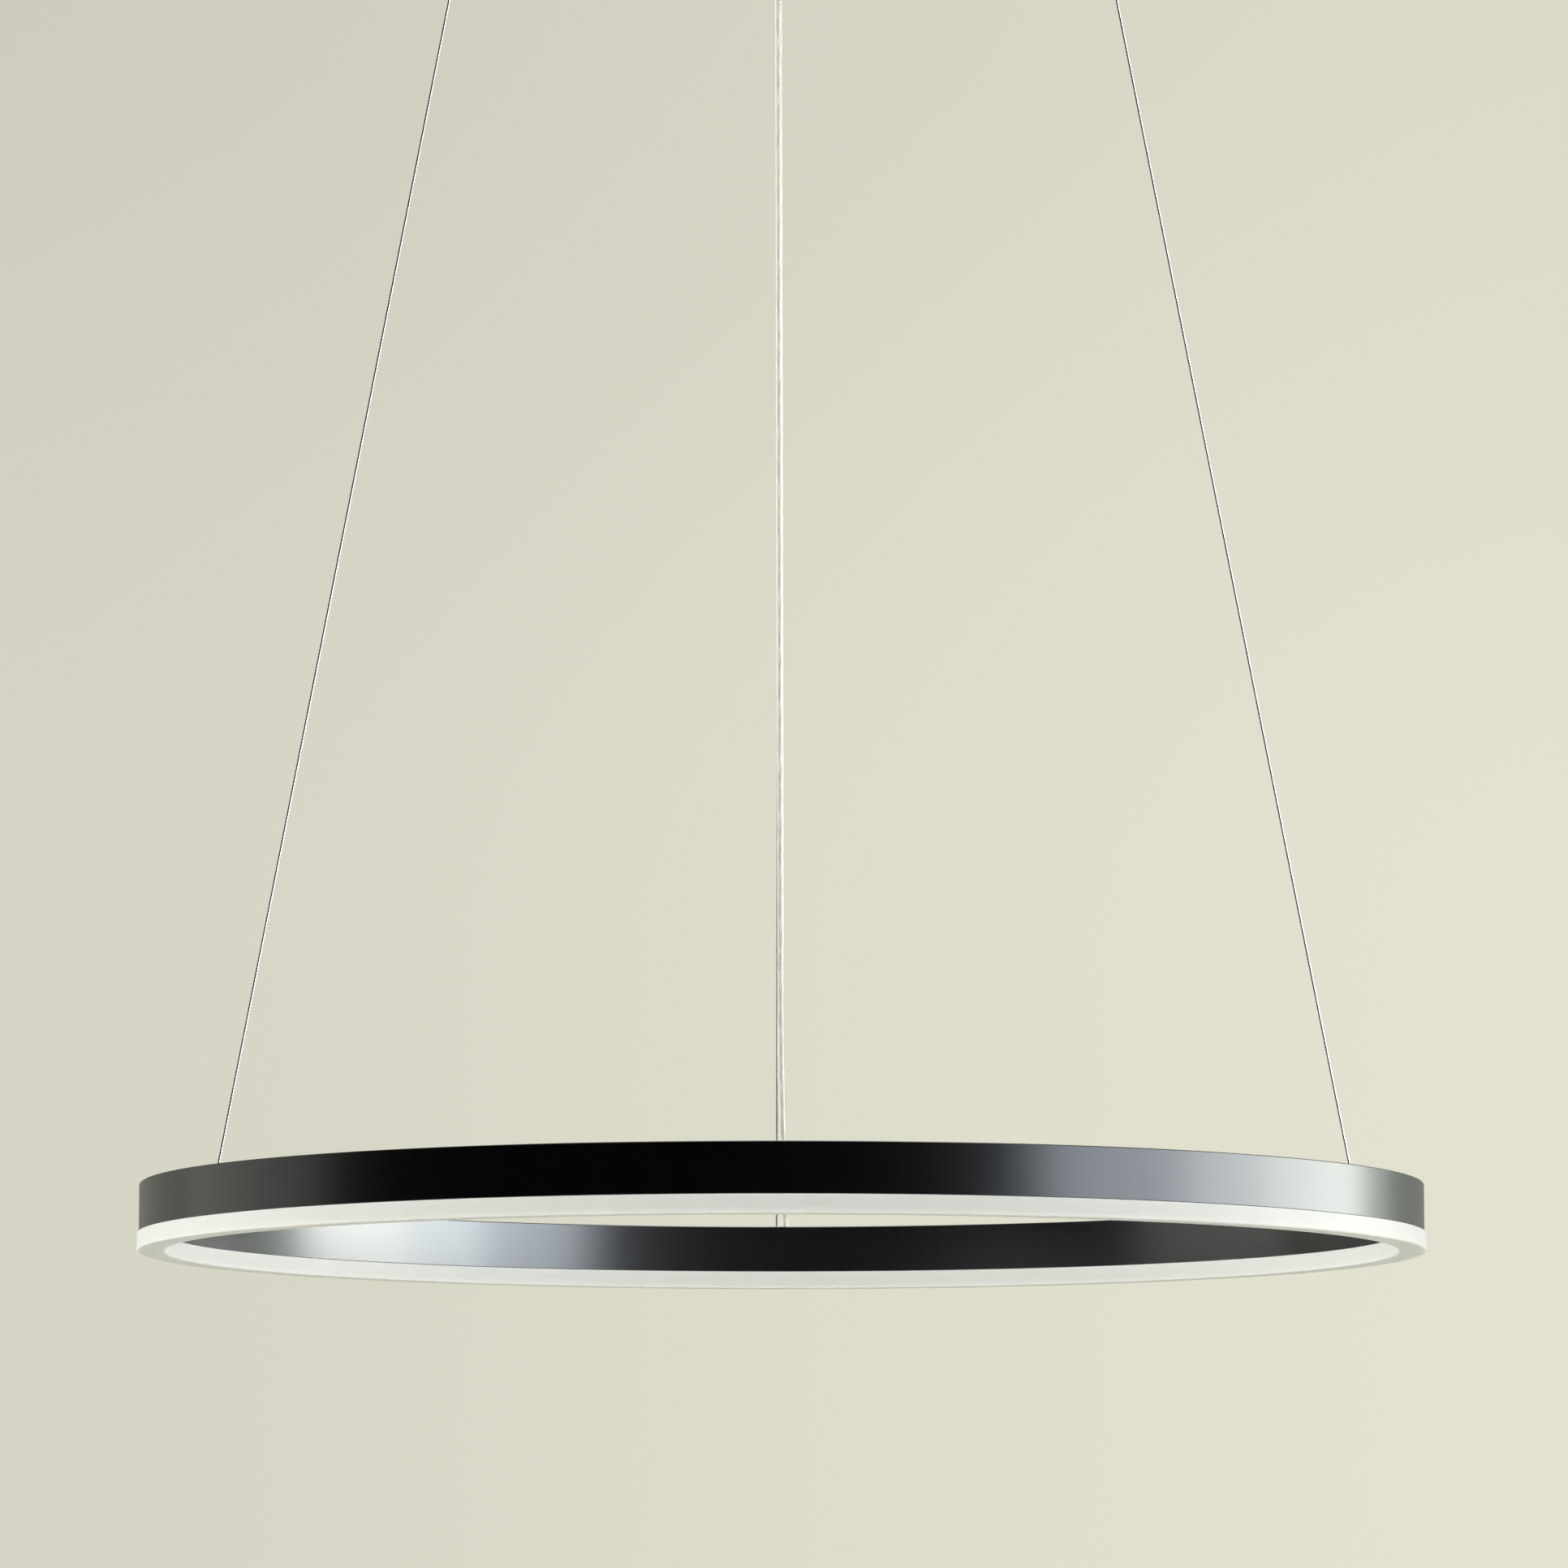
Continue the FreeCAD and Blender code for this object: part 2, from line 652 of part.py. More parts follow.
neck = cylinder("anchor_neck", "anchor_neck_radius", "top_web", at(z=-size("top_web")))
flange = cylinder("anchor_flange", "anchor_flange_radius", "anchor_flange_height", at(z=-anchor_depth))
front_blank = joined("front_anchor_blank", [neck, flange])
front_anchor = cut("front_anchor_shape", front_blank, [wire_void("front_anchor_void")])
placed_set("front_wire_anchors", front_anchor,
           [around(angle, wire_foot_radius, ring_top) for angle in (FRONT_LEFT, FRONT_RIGHT)])

# The rear anchor is longer along the ring, because the cord goes in beside the wire.
entry = size("cord_entry_offset")
rear_blank = [
    cylinder("rear_neck", "anchor_neck_radius", "top_web", at(z=-size("top_web"))),
    cylinder("rear_entry_neck", "cord_entry_neck_radius", "top_web", at(entry, 0, -size("top_web"))),
    block("rear_neck_bridge", "cord_entry_offset", "2 * cord_entry_neck_radius", "top_web",
          at(0, -size("cord_entry_neck_radius"), -size("top_web"))),
    cylinder("rear_flange", "anchor_flange_radius", "anchor_flange_height", at(z=-anchor_depth)),
    cylinder("rear_entry_flange", "cord_entry_flange_radius", "anchor_flange_height",
             at(entry, 0, -anchor_depth)),
    block("rear_flange_bridge", "cord_entry_offset", "2 * cord_entry_flange_radius", "anchor_flange_height",
          at(0, -size("cord_entry_flange_radius"), -anchor_depth)),
]
cord_bore = cylinder("rear_cord_bore", "cord_radius + cord_entry_clearance", anchor_bottom,
                     at(entry, 0, -anchor_depth))
rear_anchor = cut("rear_anchor", joined("rear_anchor_blank", rear_blank),
                  [wire_void("rear_anchor_void"), cord_bore])
rear_anchor.Placement = at(0, wire_foot_radius, ring_top)
keep(rear_anchor, "rear_anchor")

# Ring channel: an extruded aluminium section with an inner web for the lights, rolled to a circle.
inner = "(ring_outer_radius - band_width)"
groove_low = "(-band_height + snap_groove_rise)"
groove_high = "(-band_height + snap_groove_rise + snap_groove_height)"
web_under = "-(top_web + chamber_height + led_web)"
channel = turned("ring_channel_section", [
    ("ring_outer_radius - band_edge_break", "0"),
    ("ring_outer_radius", "-band_edge_break"),
    ("ring_outer_radius", "-band_height + band_edge_break"),
    ("ring_outer_radius - band_edge_break", "-band_height"),
    ("ring_outer_radius - band_wall", "-band_height"),
    ("ring_outer_radius - band_wall", groove_low),
    ("ring_outer_radius - band_wall + snap_groove_depth", groove_low),
    ("ring_outer_radius - band_wall + snap_groove_depth", groove_high),
    ("ring_outer_radius - band_wall", groove_high),
    ("ring_outer_radius - band_wall", web_under),
    (inner + " + band_wall", web_under),
    (inner + " + band_wall", groove_high),
    (inner + " + band_wall - snap_groove_depth", groove_high),
    (inner + " + band_wall - snap_groove_depth", groove_low),
    (inner + " + band_wall", groove_low),
    (inner + " + band_wall", "-band_height"),
    (inner + " + band_edge_break", "-band_height"),
    (inner, "-band_height + band_edge_break"),
    (inner, "-band_edge_break"),
    (inner + " + band_edge_break", "0"),
], [
    (inner + " + band_wall", "-top_web"),
    ("ring_outer_radius - band_wall", "-top_web"),
    ("ring_outer_radius - band_wall", "-(top_web + chamber_height)"),
    (inner + " + band_wall", "-(top_web + chamber_height)"),
])
ring_cuts = []
web_hole_level = -size("top_web") - size("chamber_height") - 2 * size("led_web")
for side, angle in WIRES:
    ring_cuts.append(cylinder("anchor_hole_" + side, "anchor_neck_radius + anchor_clearance", "top_web * 2",
                              around(angle, wire_foot_radius, -1.5 * size("top_web"))))
    ring_cuts.append(cylinder("access_hole_" + side, "web_access_radius", "led_web * 3",
                              around(angle, wire_foot_radius, web_hole_level)))
ring_cuts.append(cylinder("entry_hole", "cord_entry_neck_radius + anchor_clearance", "top_web * 2",
                          at(entry, wire_foot_radius, -1.5 * size("top_web"))))
ring_cuts.append(block("entry_bridge", "cord_entry_offset", "2 * (cord_entry_neck_radius + anchor_clearance)",
                       "top_web * 2",
                       at(0, wire_foot_radius - size("cord_entry_neck_radius") - size("anchor_clearance"),
                          -1.5 * size("top_web"))))
lead_spot = connector_frame.multVec(Vector(size("connector_length") + size("lead_reach"), 0, 0))
ring_cuts.append(cylinder("entry_access", "cord_entry_flange_radius", "led_web * 3",
                          at(entry, wire_foot_radius, web_hole_level)))
ring_cuts.append(cylinder("lead_hole", "lead_hole_radius", "led_web * 3",
                          at(lead_spot.x, lead_spot.y, web_hole_level)))
ring_channel = keep(cut("ring_channel", channel, ring_cuts), "ring_channel")
ring_channel.Placement = at(z=ring_top)

# Diffuser: opal section with a shoulder under each wall and barbed legs that snap into the channel.
outer_leg = "(ring_outer_radius - band_wall - leg_clearance)"
inner_leg = "(" + inner + " + band_wall + leg_clearance)"
barb_low = "(snap_groove_rise + barb_play)"
barb_high = "(snap_groove_rise + snap_groove_height - barb_play)"
diffuser = turned("diffuser", [
    ("ring_outer_radius + diffuser_proud", "0"),
    ("ring_outer_radius + diffuser_proud", "-diffuser_depth"),
    (inner + " - diffuser_proud", "-diffuser_depth"),
    (inner + " - diffuser_proud", "0"),
    (inner_leg, "0"),
    (inner_leg, barb_low),
    (inner_leg + " - barb_reach", barb_low),
    (inner_leg, barb_high),
    (inner_leg, "leg_height"),
    (inner_leg + " + leg_thickness", "leg_height"),
    (inner_leg + " + leg_thickness", "-diffuser_wall"),
    (inner + " - diffuser_proud + diffuser_wall", "-diffuser_wall"),
    (inner + " - diffuser_proud + diffuser_wall", "-diffuser_depth + diffuser_floor"),
    ("ring_outer_radius + diffuser_proud - diffuser_wall", "-diffuser_depth + diffuser_floor"),
    ("ring_outer_radius + diffuser_proud - diffuser_wall", "-diffuser_wall"),
    (outer_leg + " - leg_thickness", "-diffuser_wall"),
    (outer_leg + " - leg_thickness", "leg_height"),
    (outer_leg, "leg_height"),
    (outer_leg, barb_high),
    (outer_leg + " + barb_reach", barb_low),
    (outer_leg, barb_low),
    (outer_leg, "0"),
])
low_corners = [size("ring_outer_radius") + size("diffuser_proud"),
               size("ring_outer_radius") - size("band_width") - size("diffuser_proud")]


def low_corner(edge):
    return any(circle_at(radius, -size("diffuser_depth"))(edge) for radius in low_corners)


round_edges(diffuser, "diffuser_corner", low_corner)
diffuser.Placement = at(z=ring_bottom)
keep(diffuser, "diffuser")

# LED strip: a flexible board stuck under the inner web, with a gap where the leads come down.
strip_outer = cylinder("strip_outer", "ring_outer_radius - (band_width - strip_width) / 2", "strip_thickness")
bind(strip_outer, Angle="360 - strip_gap_angle")
strip_inner = cylinder("strip_inner", "ring_outer_radius - (band_width + strip_width) / 2", "strip_thickness")
led_strip = cut("led_strip", strip_outer, [strip_inner])
strip_start = math.degrees(math.atan2(lead_spot.y, lead_spot.x)) + size("strip_gap_angle") / 2
led_strip.Placement = at(z=strip_level - size("strip_thickness"), turn=strip_start)
keep(led_strip, "led_strip")

chip = block("chip_shape", "chip_width", "chip_length", "chip_height",
             at(-size("chip_width") / 2, -size("chip_length") / 2))
chip_count = int((360 - size("strip_gap_angle")) / size("chip_pitch_angle"))
chip_level = strip_level - size("strip_thickness") - size("chip_height")
placed_set("led_chips", chip, [
    around(strip_start + (k + 0.5) * size("chip_pitch_angle"), wire_foot_radius, chip_level)
    for k in range(chip_count)
])

# Grippers, wires and ferrules, each set in the frame of its own wire.
collar_top = "-gripper_collar_drop"
barrel_top = "-(gripper_collar_drop + gripper_collar_height)"
plug_end = "-(gripper_collar_drop + gripper_collar_height + gripper_plug_height)"
barrel_end = "-(gripper_collar_drop + gripper_collar_height + gripper_barrel_length)"
cone_end = "-(gripper_cone_drop + gripper_cone_height)"
head_top = "(" + barrel_end + " - nipple_travel - nipple_stop_gap)"
cone_narrowing = size("gripper_chamber_radius") - size("gripper_cone_small_radius")
cone_slope = cone_narrowing / size("gripper_cone_height")
ball_orbit = size("wire_radius") + size("ball_clearance") + size("ball_radius")
spread = ("ring_outer_radius - band_width / 2"
          " - (canopy_radius - canopy_corner - bush_nut_width / 2 - bush_wall_gap)")
ball_touch = ball_orbit + (size("ball_radius") + size("ball_clearance")) / math.cos(math.atan(cone_slope))
balls_level = -size("gripper_cone_drop") - (size("gripper_chamber_radius") - ball_touch) / cone_slope

for side, angle in WIRES:
    frame = along_wire(angle)
    stem = turned("gripper_stem_" + side, [
        ("0", "0"),
        ("gripper_shank_radius", "0"),
        ("gripper_shank_radius", collar_top),
        ("gripper_barrel_radius - gripper_edge_break", collar_top),
        ("gripper_barrel_radius", collar_top + " - gripper_edge_break"),
        ("gripper_barrel_radius", barrel_top),
        ("gripper_chamber_radius - gripper_plug_clearance", barrel_top),
        ("gripper_chamber_radius - gripper_plug_clearance", plug_end),
        ("0", plug_end),
    ])
    knob = bind(doc.addObject("Part::Sphere", "gripper_knob_" + side), Radius="gripper_ball_radius")
    bore = cylinder("gripper_bore_" + side, "gripper_bore_radius", "gripper_ball_radius * 6",
                    at(z=-4 * size("gripper_ball_radius")))
    head = cut("gripper_head_" + side, joined("gripper_head_blank_" + side, [stem, knob]), [bore])
    head.Placement = frame
    keep(head, "gripper_head_" + side)

    nipple_bore = "nipple_sleeve_radius + nipple_bore_clearance"
    barrel = turned("gripper_barrel_" + side, [
        ("gripper_chamber_radius", barrel_top),
        ("gripper_barrel_radius", barrel_top),
        ("gripper_barrel_radius", barrel_end + " + gripper_edge_break"),
        ("gripper_barrel_radius - gripper_edge_break", barrel_end),
        (nipple_bore, barrel_end),
        (nipple_bore, cone_end),
        ("gripper_cone_small_radius", cone_end),
        ("gripper_chamber_radius", "-gripper_cone_drop"),
    ])
    barrel.Placement = frame
    keep(barrel, "gripper_barrel_" + side)

    spring = turned("release_spring_" + side, [
        ("nipple_sleeve_radius - spring_wire", plug_end),
        ("nipple_sleeve_radius", plug_end),
        ("nipple_sleeve_radius", "-nipple_top_drop"),
        ("nipple_sleeve_radius - spring_wire", "-nipple_top_drop"),
    ])
    spring.Placement = frame
    keep(spring, "release_spring_" + side)

    sleeve = turned("nipple_sleeve_" + side, [
        ("nipple_bore_radius", "-nipple_top_drop"),
        ("nipple_sleeve_radius", "-nipple_top_drop"),
        ("nipple_sleeve_radius", head_top),
        ("nipple_head_radius", head_top),
        ("nipple_head_radius", head_top + " - nipple_head_height + gripper_edge_break"),
        ("nipple_head_radius - gripper_edge_break", head_top + " - nipple_head_height"),
        ("nipple_bore_radius", head_top + " - nipple_head_height"),
    ])
    windows = []
    for k in range(3):
        sideways = Placement(Vector(0, 0, balls_level), Rotation(Vector(0, 0, 1), 120 * k).multiply(across))
        windows.append(cylinder("nipple_window_%s_%d" % (side, k), "ball_radius + nipple_window_clearance",
                                "nipple_sleeve_radius * 2", sideways))
    nipple = cut("release_nipple_" + side, sleeve, windows)
    nipple.Placement = frame
    keep(nipple, "release_nipple_" + side)

    ball = bind(doc.addObject("Part::Sphere", "gripper_ball_" + side), Radius="ball_radius")
    ball.Placement = at(ball_orbit, 0, balls_level)
    placed_set("gripper_balls_" + side, ball, [frame.multiply(at(turn=120 * k)) for k in range(3)])

    wire = doc.addObject("Part::Cylinder", "suspension_wire_" + side)
    span = "sqrt(pow(" + spread + "; 2) + pow(suspension_height; 2))"
    bind(wire, Radius="wire_radius", Height=span + " + ferrule_length + gripper_ball_radius + wire_tail")
    wire.Placement = frame.multiply(at(z=-wire_length - size("ferrule_length")))
    keep(wire, "suspension_wire_" + side)

    bead = bind(doc.addObject("Part::Sphere", "ferrule_bead_" + side), Radius="ferrule_ball_radius")
    crimp = cylinder("ferrule_sleeve_" + side, "ferrule_sleeve_radius", "ferrule_length",
                     at(z=-size("ferrule_length")))
    hole = cylinder("ferrule_hole_" + side, "wire_radius + crimp_clearance", "ferrule_length * 2",
                    at(z=-size("ferrule_length")))
    ferrule = cut("wire_ferrule_" + side, joined("ferrule_blank_" + side, [bead, crimp]), [hole])
    ferrule.Placement = frame.multiply(at(z=-wire_length))
    keep(ferrule, "wire_ferrule_" + side)

# Clear cord: out of the gland, tight in front of the rear wire, past it on the right just above the ring,
# through the rear anchor and round to a connector.
cord_route = [
    (-3.0, 59.0, -33.0),
    (-3.0, 59.0, -72.0),
    (2.4, 360.4, -1400.0),
    (4.0, 376.8, -1470.0),
    (5.3, 386.4, -1506.0),
    (5.7, 392.5, -1526.0),
    (5.7, 392.5, -1544.0),
    (24.0, 391.3, -1544.0),
]
cord_bends = {6: 6.0}
tube("power_cord", cord_route, size("cord_radius"), cord_bends)

cord_tail_route = [
    (-3.0, 59.0, -33.0),
    (-3.0, 59.0, -21.0),
    (-10.0, 58.4, -11.5),
    (-23.0, 56.0, -8.5),
    (-42.0, 51.0, -8.0),
    (-60.0, 46.0, -8.0),
    (-70.0, 36.0, -8.0),
    (-70.0, 22.0, -8.0),
    (-60.0, 12.0, -8.0),
    (-46.0, 12.0, -8.0),
]
tube("cord_tail", cord_tail_route, size("cord_radius"))

# Push-in connector in the ring's chamber, and the two leads from it to the strip.
connector = block("ring_connector", "connector_length", "connector_width", "connector_height")
connector.Placement = connector_frame.multiply(
    at(0, -size("connector_width") / 2, -size("connector_height") / 2))
keep(connector, "ring_connector")

lead_level = strip_level - size("strip_thickness") - size("lead_radius") - size("crimp_clearance")
lead_drop = lead_level - inside_level
lead_turn_place = size("connector_length") + size("lead_reach")
leads = []
for side in (-1, 1):
    aside = side * size("lead_spacing") / 2
    lead_points = [
        Vector(size("connector_length"), aside, 0),
        Vector(lead_turn_place, aside, 0),
        Vector(lead_turn_place, aside, lead_drop),
        Vector(lead_turn_place + size("lead_run"), aside, lead_drop),
    ]
    path, radii = route(lead_points, {1: size("lead_bend"), 2: size("lead_bend")})
    section = Part.Wire([Part.makeCircle(size("lead_radius"), lead_points[0], Vector(1, 0, 0))])
    leads.append(path.makePipeShell([section], True, False))
strip_leads = doc.addObject("Part::Feature", "strip_leads")
strip_leads.Shape = Part.makeCompound(leads)
strip_leads.Placement = connector_frame
keep(strip_leads, "strip_leads")

doc.recompute()
for item in doc.Objects:
    if "Invalid" in item.State or "Error" in item.State:
        raise RuntimeError("%s failed: %s" % (item.Name, item.State))
for item in subparts:
    shape = item.Shape
    if shape.isNull() or not shape.isValid() or not shape.Solids:
        raise RuntimeError("%s has no valid solid" % item.Label)

os.makedirs("parts", exist_ok=True)
for item in subparts:
    item.Shape.exportStep("parts/%s.step" % item.Label)
print("%d sub-parts, ring top at %.2f, wires lean %.2f degrees" % (len(subparts), ring_top, wire_tilt))
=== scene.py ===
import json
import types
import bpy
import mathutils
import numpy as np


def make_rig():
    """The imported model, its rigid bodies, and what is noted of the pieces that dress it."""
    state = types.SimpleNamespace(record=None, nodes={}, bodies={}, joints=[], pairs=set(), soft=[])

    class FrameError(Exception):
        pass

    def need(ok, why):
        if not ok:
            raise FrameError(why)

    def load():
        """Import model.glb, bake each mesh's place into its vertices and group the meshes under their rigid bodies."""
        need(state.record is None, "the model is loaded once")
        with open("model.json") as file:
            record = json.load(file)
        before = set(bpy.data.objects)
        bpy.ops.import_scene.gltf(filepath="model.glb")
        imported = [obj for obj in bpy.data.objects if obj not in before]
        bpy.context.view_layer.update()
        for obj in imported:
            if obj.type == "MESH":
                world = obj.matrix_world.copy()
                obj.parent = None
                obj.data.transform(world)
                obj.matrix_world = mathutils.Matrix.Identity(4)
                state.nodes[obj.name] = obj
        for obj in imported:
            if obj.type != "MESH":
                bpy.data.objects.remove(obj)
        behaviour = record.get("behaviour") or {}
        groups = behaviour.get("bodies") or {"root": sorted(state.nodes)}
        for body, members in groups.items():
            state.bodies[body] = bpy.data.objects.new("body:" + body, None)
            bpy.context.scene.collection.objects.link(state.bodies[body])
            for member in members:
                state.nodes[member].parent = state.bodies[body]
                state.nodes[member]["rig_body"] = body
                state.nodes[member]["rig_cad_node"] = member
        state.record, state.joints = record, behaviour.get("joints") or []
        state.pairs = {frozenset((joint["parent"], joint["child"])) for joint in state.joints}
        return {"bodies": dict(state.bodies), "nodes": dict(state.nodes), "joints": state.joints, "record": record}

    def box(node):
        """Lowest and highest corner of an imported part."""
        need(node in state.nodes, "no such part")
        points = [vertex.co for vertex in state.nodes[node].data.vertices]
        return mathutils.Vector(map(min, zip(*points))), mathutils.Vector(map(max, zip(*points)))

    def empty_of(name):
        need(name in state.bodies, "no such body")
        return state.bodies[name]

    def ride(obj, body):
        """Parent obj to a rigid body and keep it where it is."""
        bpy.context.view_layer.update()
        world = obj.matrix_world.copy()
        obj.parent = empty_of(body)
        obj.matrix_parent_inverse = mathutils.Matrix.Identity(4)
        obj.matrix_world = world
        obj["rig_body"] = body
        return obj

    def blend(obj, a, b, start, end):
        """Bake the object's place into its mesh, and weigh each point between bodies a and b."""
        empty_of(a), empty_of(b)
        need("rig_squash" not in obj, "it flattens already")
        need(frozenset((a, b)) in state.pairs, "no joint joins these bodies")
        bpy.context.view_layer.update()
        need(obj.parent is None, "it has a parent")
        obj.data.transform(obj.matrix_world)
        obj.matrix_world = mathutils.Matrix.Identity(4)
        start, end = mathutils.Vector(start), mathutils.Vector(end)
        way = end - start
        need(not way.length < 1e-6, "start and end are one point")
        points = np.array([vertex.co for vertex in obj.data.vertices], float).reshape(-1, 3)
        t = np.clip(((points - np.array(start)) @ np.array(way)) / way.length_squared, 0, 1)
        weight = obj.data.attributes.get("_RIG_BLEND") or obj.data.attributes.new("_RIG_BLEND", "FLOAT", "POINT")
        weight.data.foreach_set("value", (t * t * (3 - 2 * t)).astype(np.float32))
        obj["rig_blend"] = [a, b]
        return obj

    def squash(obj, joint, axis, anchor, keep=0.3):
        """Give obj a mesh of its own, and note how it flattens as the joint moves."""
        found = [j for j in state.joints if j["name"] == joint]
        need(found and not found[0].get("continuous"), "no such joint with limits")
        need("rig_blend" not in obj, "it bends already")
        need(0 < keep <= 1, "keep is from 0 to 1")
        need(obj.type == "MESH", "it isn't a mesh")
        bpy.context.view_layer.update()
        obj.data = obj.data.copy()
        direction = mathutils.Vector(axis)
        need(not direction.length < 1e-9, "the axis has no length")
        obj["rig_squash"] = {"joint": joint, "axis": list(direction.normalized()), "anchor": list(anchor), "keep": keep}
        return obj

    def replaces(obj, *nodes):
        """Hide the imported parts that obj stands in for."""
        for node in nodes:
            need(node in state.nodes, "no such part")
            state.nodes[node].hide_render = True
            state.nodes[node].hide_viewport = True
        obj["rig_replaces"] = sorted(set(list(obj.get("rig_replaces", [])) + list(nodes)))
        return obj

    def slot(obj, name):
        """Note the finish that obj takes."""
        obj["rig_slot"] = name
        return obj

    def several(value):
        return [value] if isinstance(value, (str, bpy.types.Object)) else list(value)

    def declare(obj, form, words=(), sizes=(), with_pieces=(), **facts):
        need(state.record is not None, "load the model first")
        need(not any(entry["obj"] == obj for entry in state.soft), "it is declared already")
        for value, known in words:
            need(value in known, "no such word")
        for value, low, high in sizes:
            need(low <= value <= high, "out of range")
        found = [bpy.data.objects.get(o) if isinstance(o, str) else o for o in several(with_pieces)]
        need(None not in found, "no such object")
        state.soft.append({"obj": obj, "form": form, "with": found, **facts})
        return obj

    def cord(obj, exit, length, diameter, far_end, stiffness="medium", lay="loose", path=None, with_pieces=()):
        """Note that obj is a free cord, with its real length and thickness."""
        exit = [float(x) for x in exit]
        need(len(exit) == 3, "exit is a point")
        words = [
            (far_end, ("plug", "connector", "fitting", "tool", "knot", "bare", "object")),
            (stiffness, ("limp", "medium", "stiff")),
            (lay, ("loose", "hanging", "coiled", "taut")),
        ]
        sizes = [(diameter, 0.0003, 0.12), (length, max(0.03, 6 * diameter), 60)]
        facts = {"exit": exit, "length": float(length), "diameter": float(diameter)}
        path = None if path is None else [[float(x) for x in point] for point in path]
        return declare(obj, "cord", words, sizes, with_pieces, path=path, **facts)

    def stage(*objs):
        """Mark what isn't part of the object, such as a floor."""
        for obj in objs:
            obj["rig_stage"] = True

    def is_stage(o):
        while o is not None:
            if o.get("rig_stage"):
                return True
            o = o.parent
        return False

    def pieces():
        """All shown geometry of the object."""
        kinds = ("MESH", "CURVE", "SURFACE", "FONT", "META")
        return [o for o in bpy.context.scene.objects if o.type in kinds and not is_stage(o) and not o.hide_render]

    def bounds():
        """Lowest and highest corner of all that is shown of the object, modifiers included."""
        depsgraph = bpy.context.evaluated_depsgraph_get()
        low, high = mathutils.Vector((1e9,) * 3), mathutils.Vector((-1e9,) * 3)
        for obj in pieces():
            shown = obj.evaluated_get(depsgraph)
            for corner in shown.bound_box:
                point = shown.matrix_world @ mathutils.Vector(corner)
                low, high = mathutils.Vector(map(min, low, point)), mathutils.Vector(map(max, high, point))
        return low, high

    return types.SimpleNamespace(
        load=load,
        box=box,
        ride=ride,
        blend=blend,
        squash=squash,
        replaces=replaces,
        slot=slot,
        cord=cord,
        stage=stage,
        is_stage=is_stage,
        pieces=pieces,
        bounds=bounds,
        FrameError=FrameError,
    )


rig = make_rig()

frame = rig.load()
cad_low, cad_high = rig.bounds()

import json
import math

import bmesh
import bpy
from mathutils import Matrix, Vector

# The camera stands 4.7 m in front of the ring and a little below it, and looks up by 7 degrees through a
# long lens. The ring is turned half a degree against the line of sight.
ring_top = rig.box("ring_channel")[1].z
camera_distance = 4.6853
camera_aside = 0.0015
camera_drop = 0.3187
camera_lift = math.radians(6.972)
camera_turn = math.radians(-0.49)
camera_lens = 172.28
camera_data = bpy.data.cameras.new("camera")
camera_data.sensor_width = 36.0
camera_data.lens = camera_lens
camera_data.clip_start = 0.1
camera_data.clip_end = 60.0
camera = bpy.data.objects.new("camera", camera_data)
bpy.context.scene.collection.objects.link(camera)
camera.location = Matrix.Rotation(camera_turn, 3, "Z") @ Vector(
    (camera_aside, -camera_distance, ring_top - camera_drop))
camera.rotation_euler = (math.pi / 2 + camera_lift, 0.0, camera_turn)
bpy.context.scene.camera = camera

# The power cord is a clear round flex: a soft PVC sleeve over two twisted conductors, one of tinned and
# one of bare copper strands. It hangs tight in front of the rear wire, passes it just above the ring and
# goes in through the rear anchor, where it ends in the connector.
cord_radius = 0.00215
cord_length = 1.564
sleeve_sides = 20
cord_route = [
    (-0.003, 0.059, -0.033),
    (-0.003, 0.059, -0.072),
    (-0.0028, 0.0676, -0.110),
    (0.0021, 0.3441, -1.328),
    (0.0024, 0.3604, -1.400),
    (0.004, 0.3768, -1.470),
    (0.0053, 0.3864, -1.506),
    (0.0057, 0.3925, -1.526),
    (0.0057, 0.3925, -1.544),
    (0.024, 0.3913, -1.544),
]
core_radius = 0.00042
core_orbit = 0.00046
core_pitch = 0.037
strand_pitch = 0.011
strand_count = 7
cord_step = 0.0016


def link(name, mesh):
    """A new object that holds a mesh, in the scene."""
    piece = bpy.data.objects.new(name, mesh)
    bpy.context.scene.collection.objects.link(piece)
    return piece


def meshed(name, shape):
    """Turns a bmesh into an object with smooth faces."""
    mesh = bpy.data.meshes.new(name)
    shape.to_mesh(mesh)
    shape.free()
    mesh.polygons.foreach_set("use_smooth", [True] * len(mesh.polygons))
    mesh.update()
    return link(name, mesh)


def spline_line(points):
    """The smooth line that a NURBS spline draws with these control points."""
    curve = bpy.data.curves.new("route", "CURVE")
    curve.dimensions = "3D"
    spline = curve.splines.new("NURBS")
    spline.points.add(len(points) - 1)
    for spot, point in zip(spline.points, points):
        spot.co = (*point, 1.0)
    spline.order_u = 3
    spline.use_endpoint_u = True
    spline.resolution_u = 48
    holder = bpy.data.objects.new("route", curve)
    mesh = bpy.data.meshes.new_from_object(holder)
    line = [vertex.co.copy() for vertex in mesh.vertices]
    bpy.data.objects.remove(holder)
    bpy.data.meshes.remove(mesh)
    return line


def evenly(line, step):
    """The same line, with its points a step apart."""
    reach = [0.0]
    for before, after in zip(line, line[1:]):
        reach.append(reach[-1] + (after - before).length)
    count = max(2, round(reach[-1] / step))
    spaced = []
    k = 0
    for number in range(count + 1):
        target = reach[-1] * number / count
        while k < len(line) - 2 and reach[k + 1] < target:
            k += 1
        share = (target - reach[k]) / (reach[k + 1] - reach[k])
        spaced.append(line[k].lerp(line[k + 1], share))
    return spaced


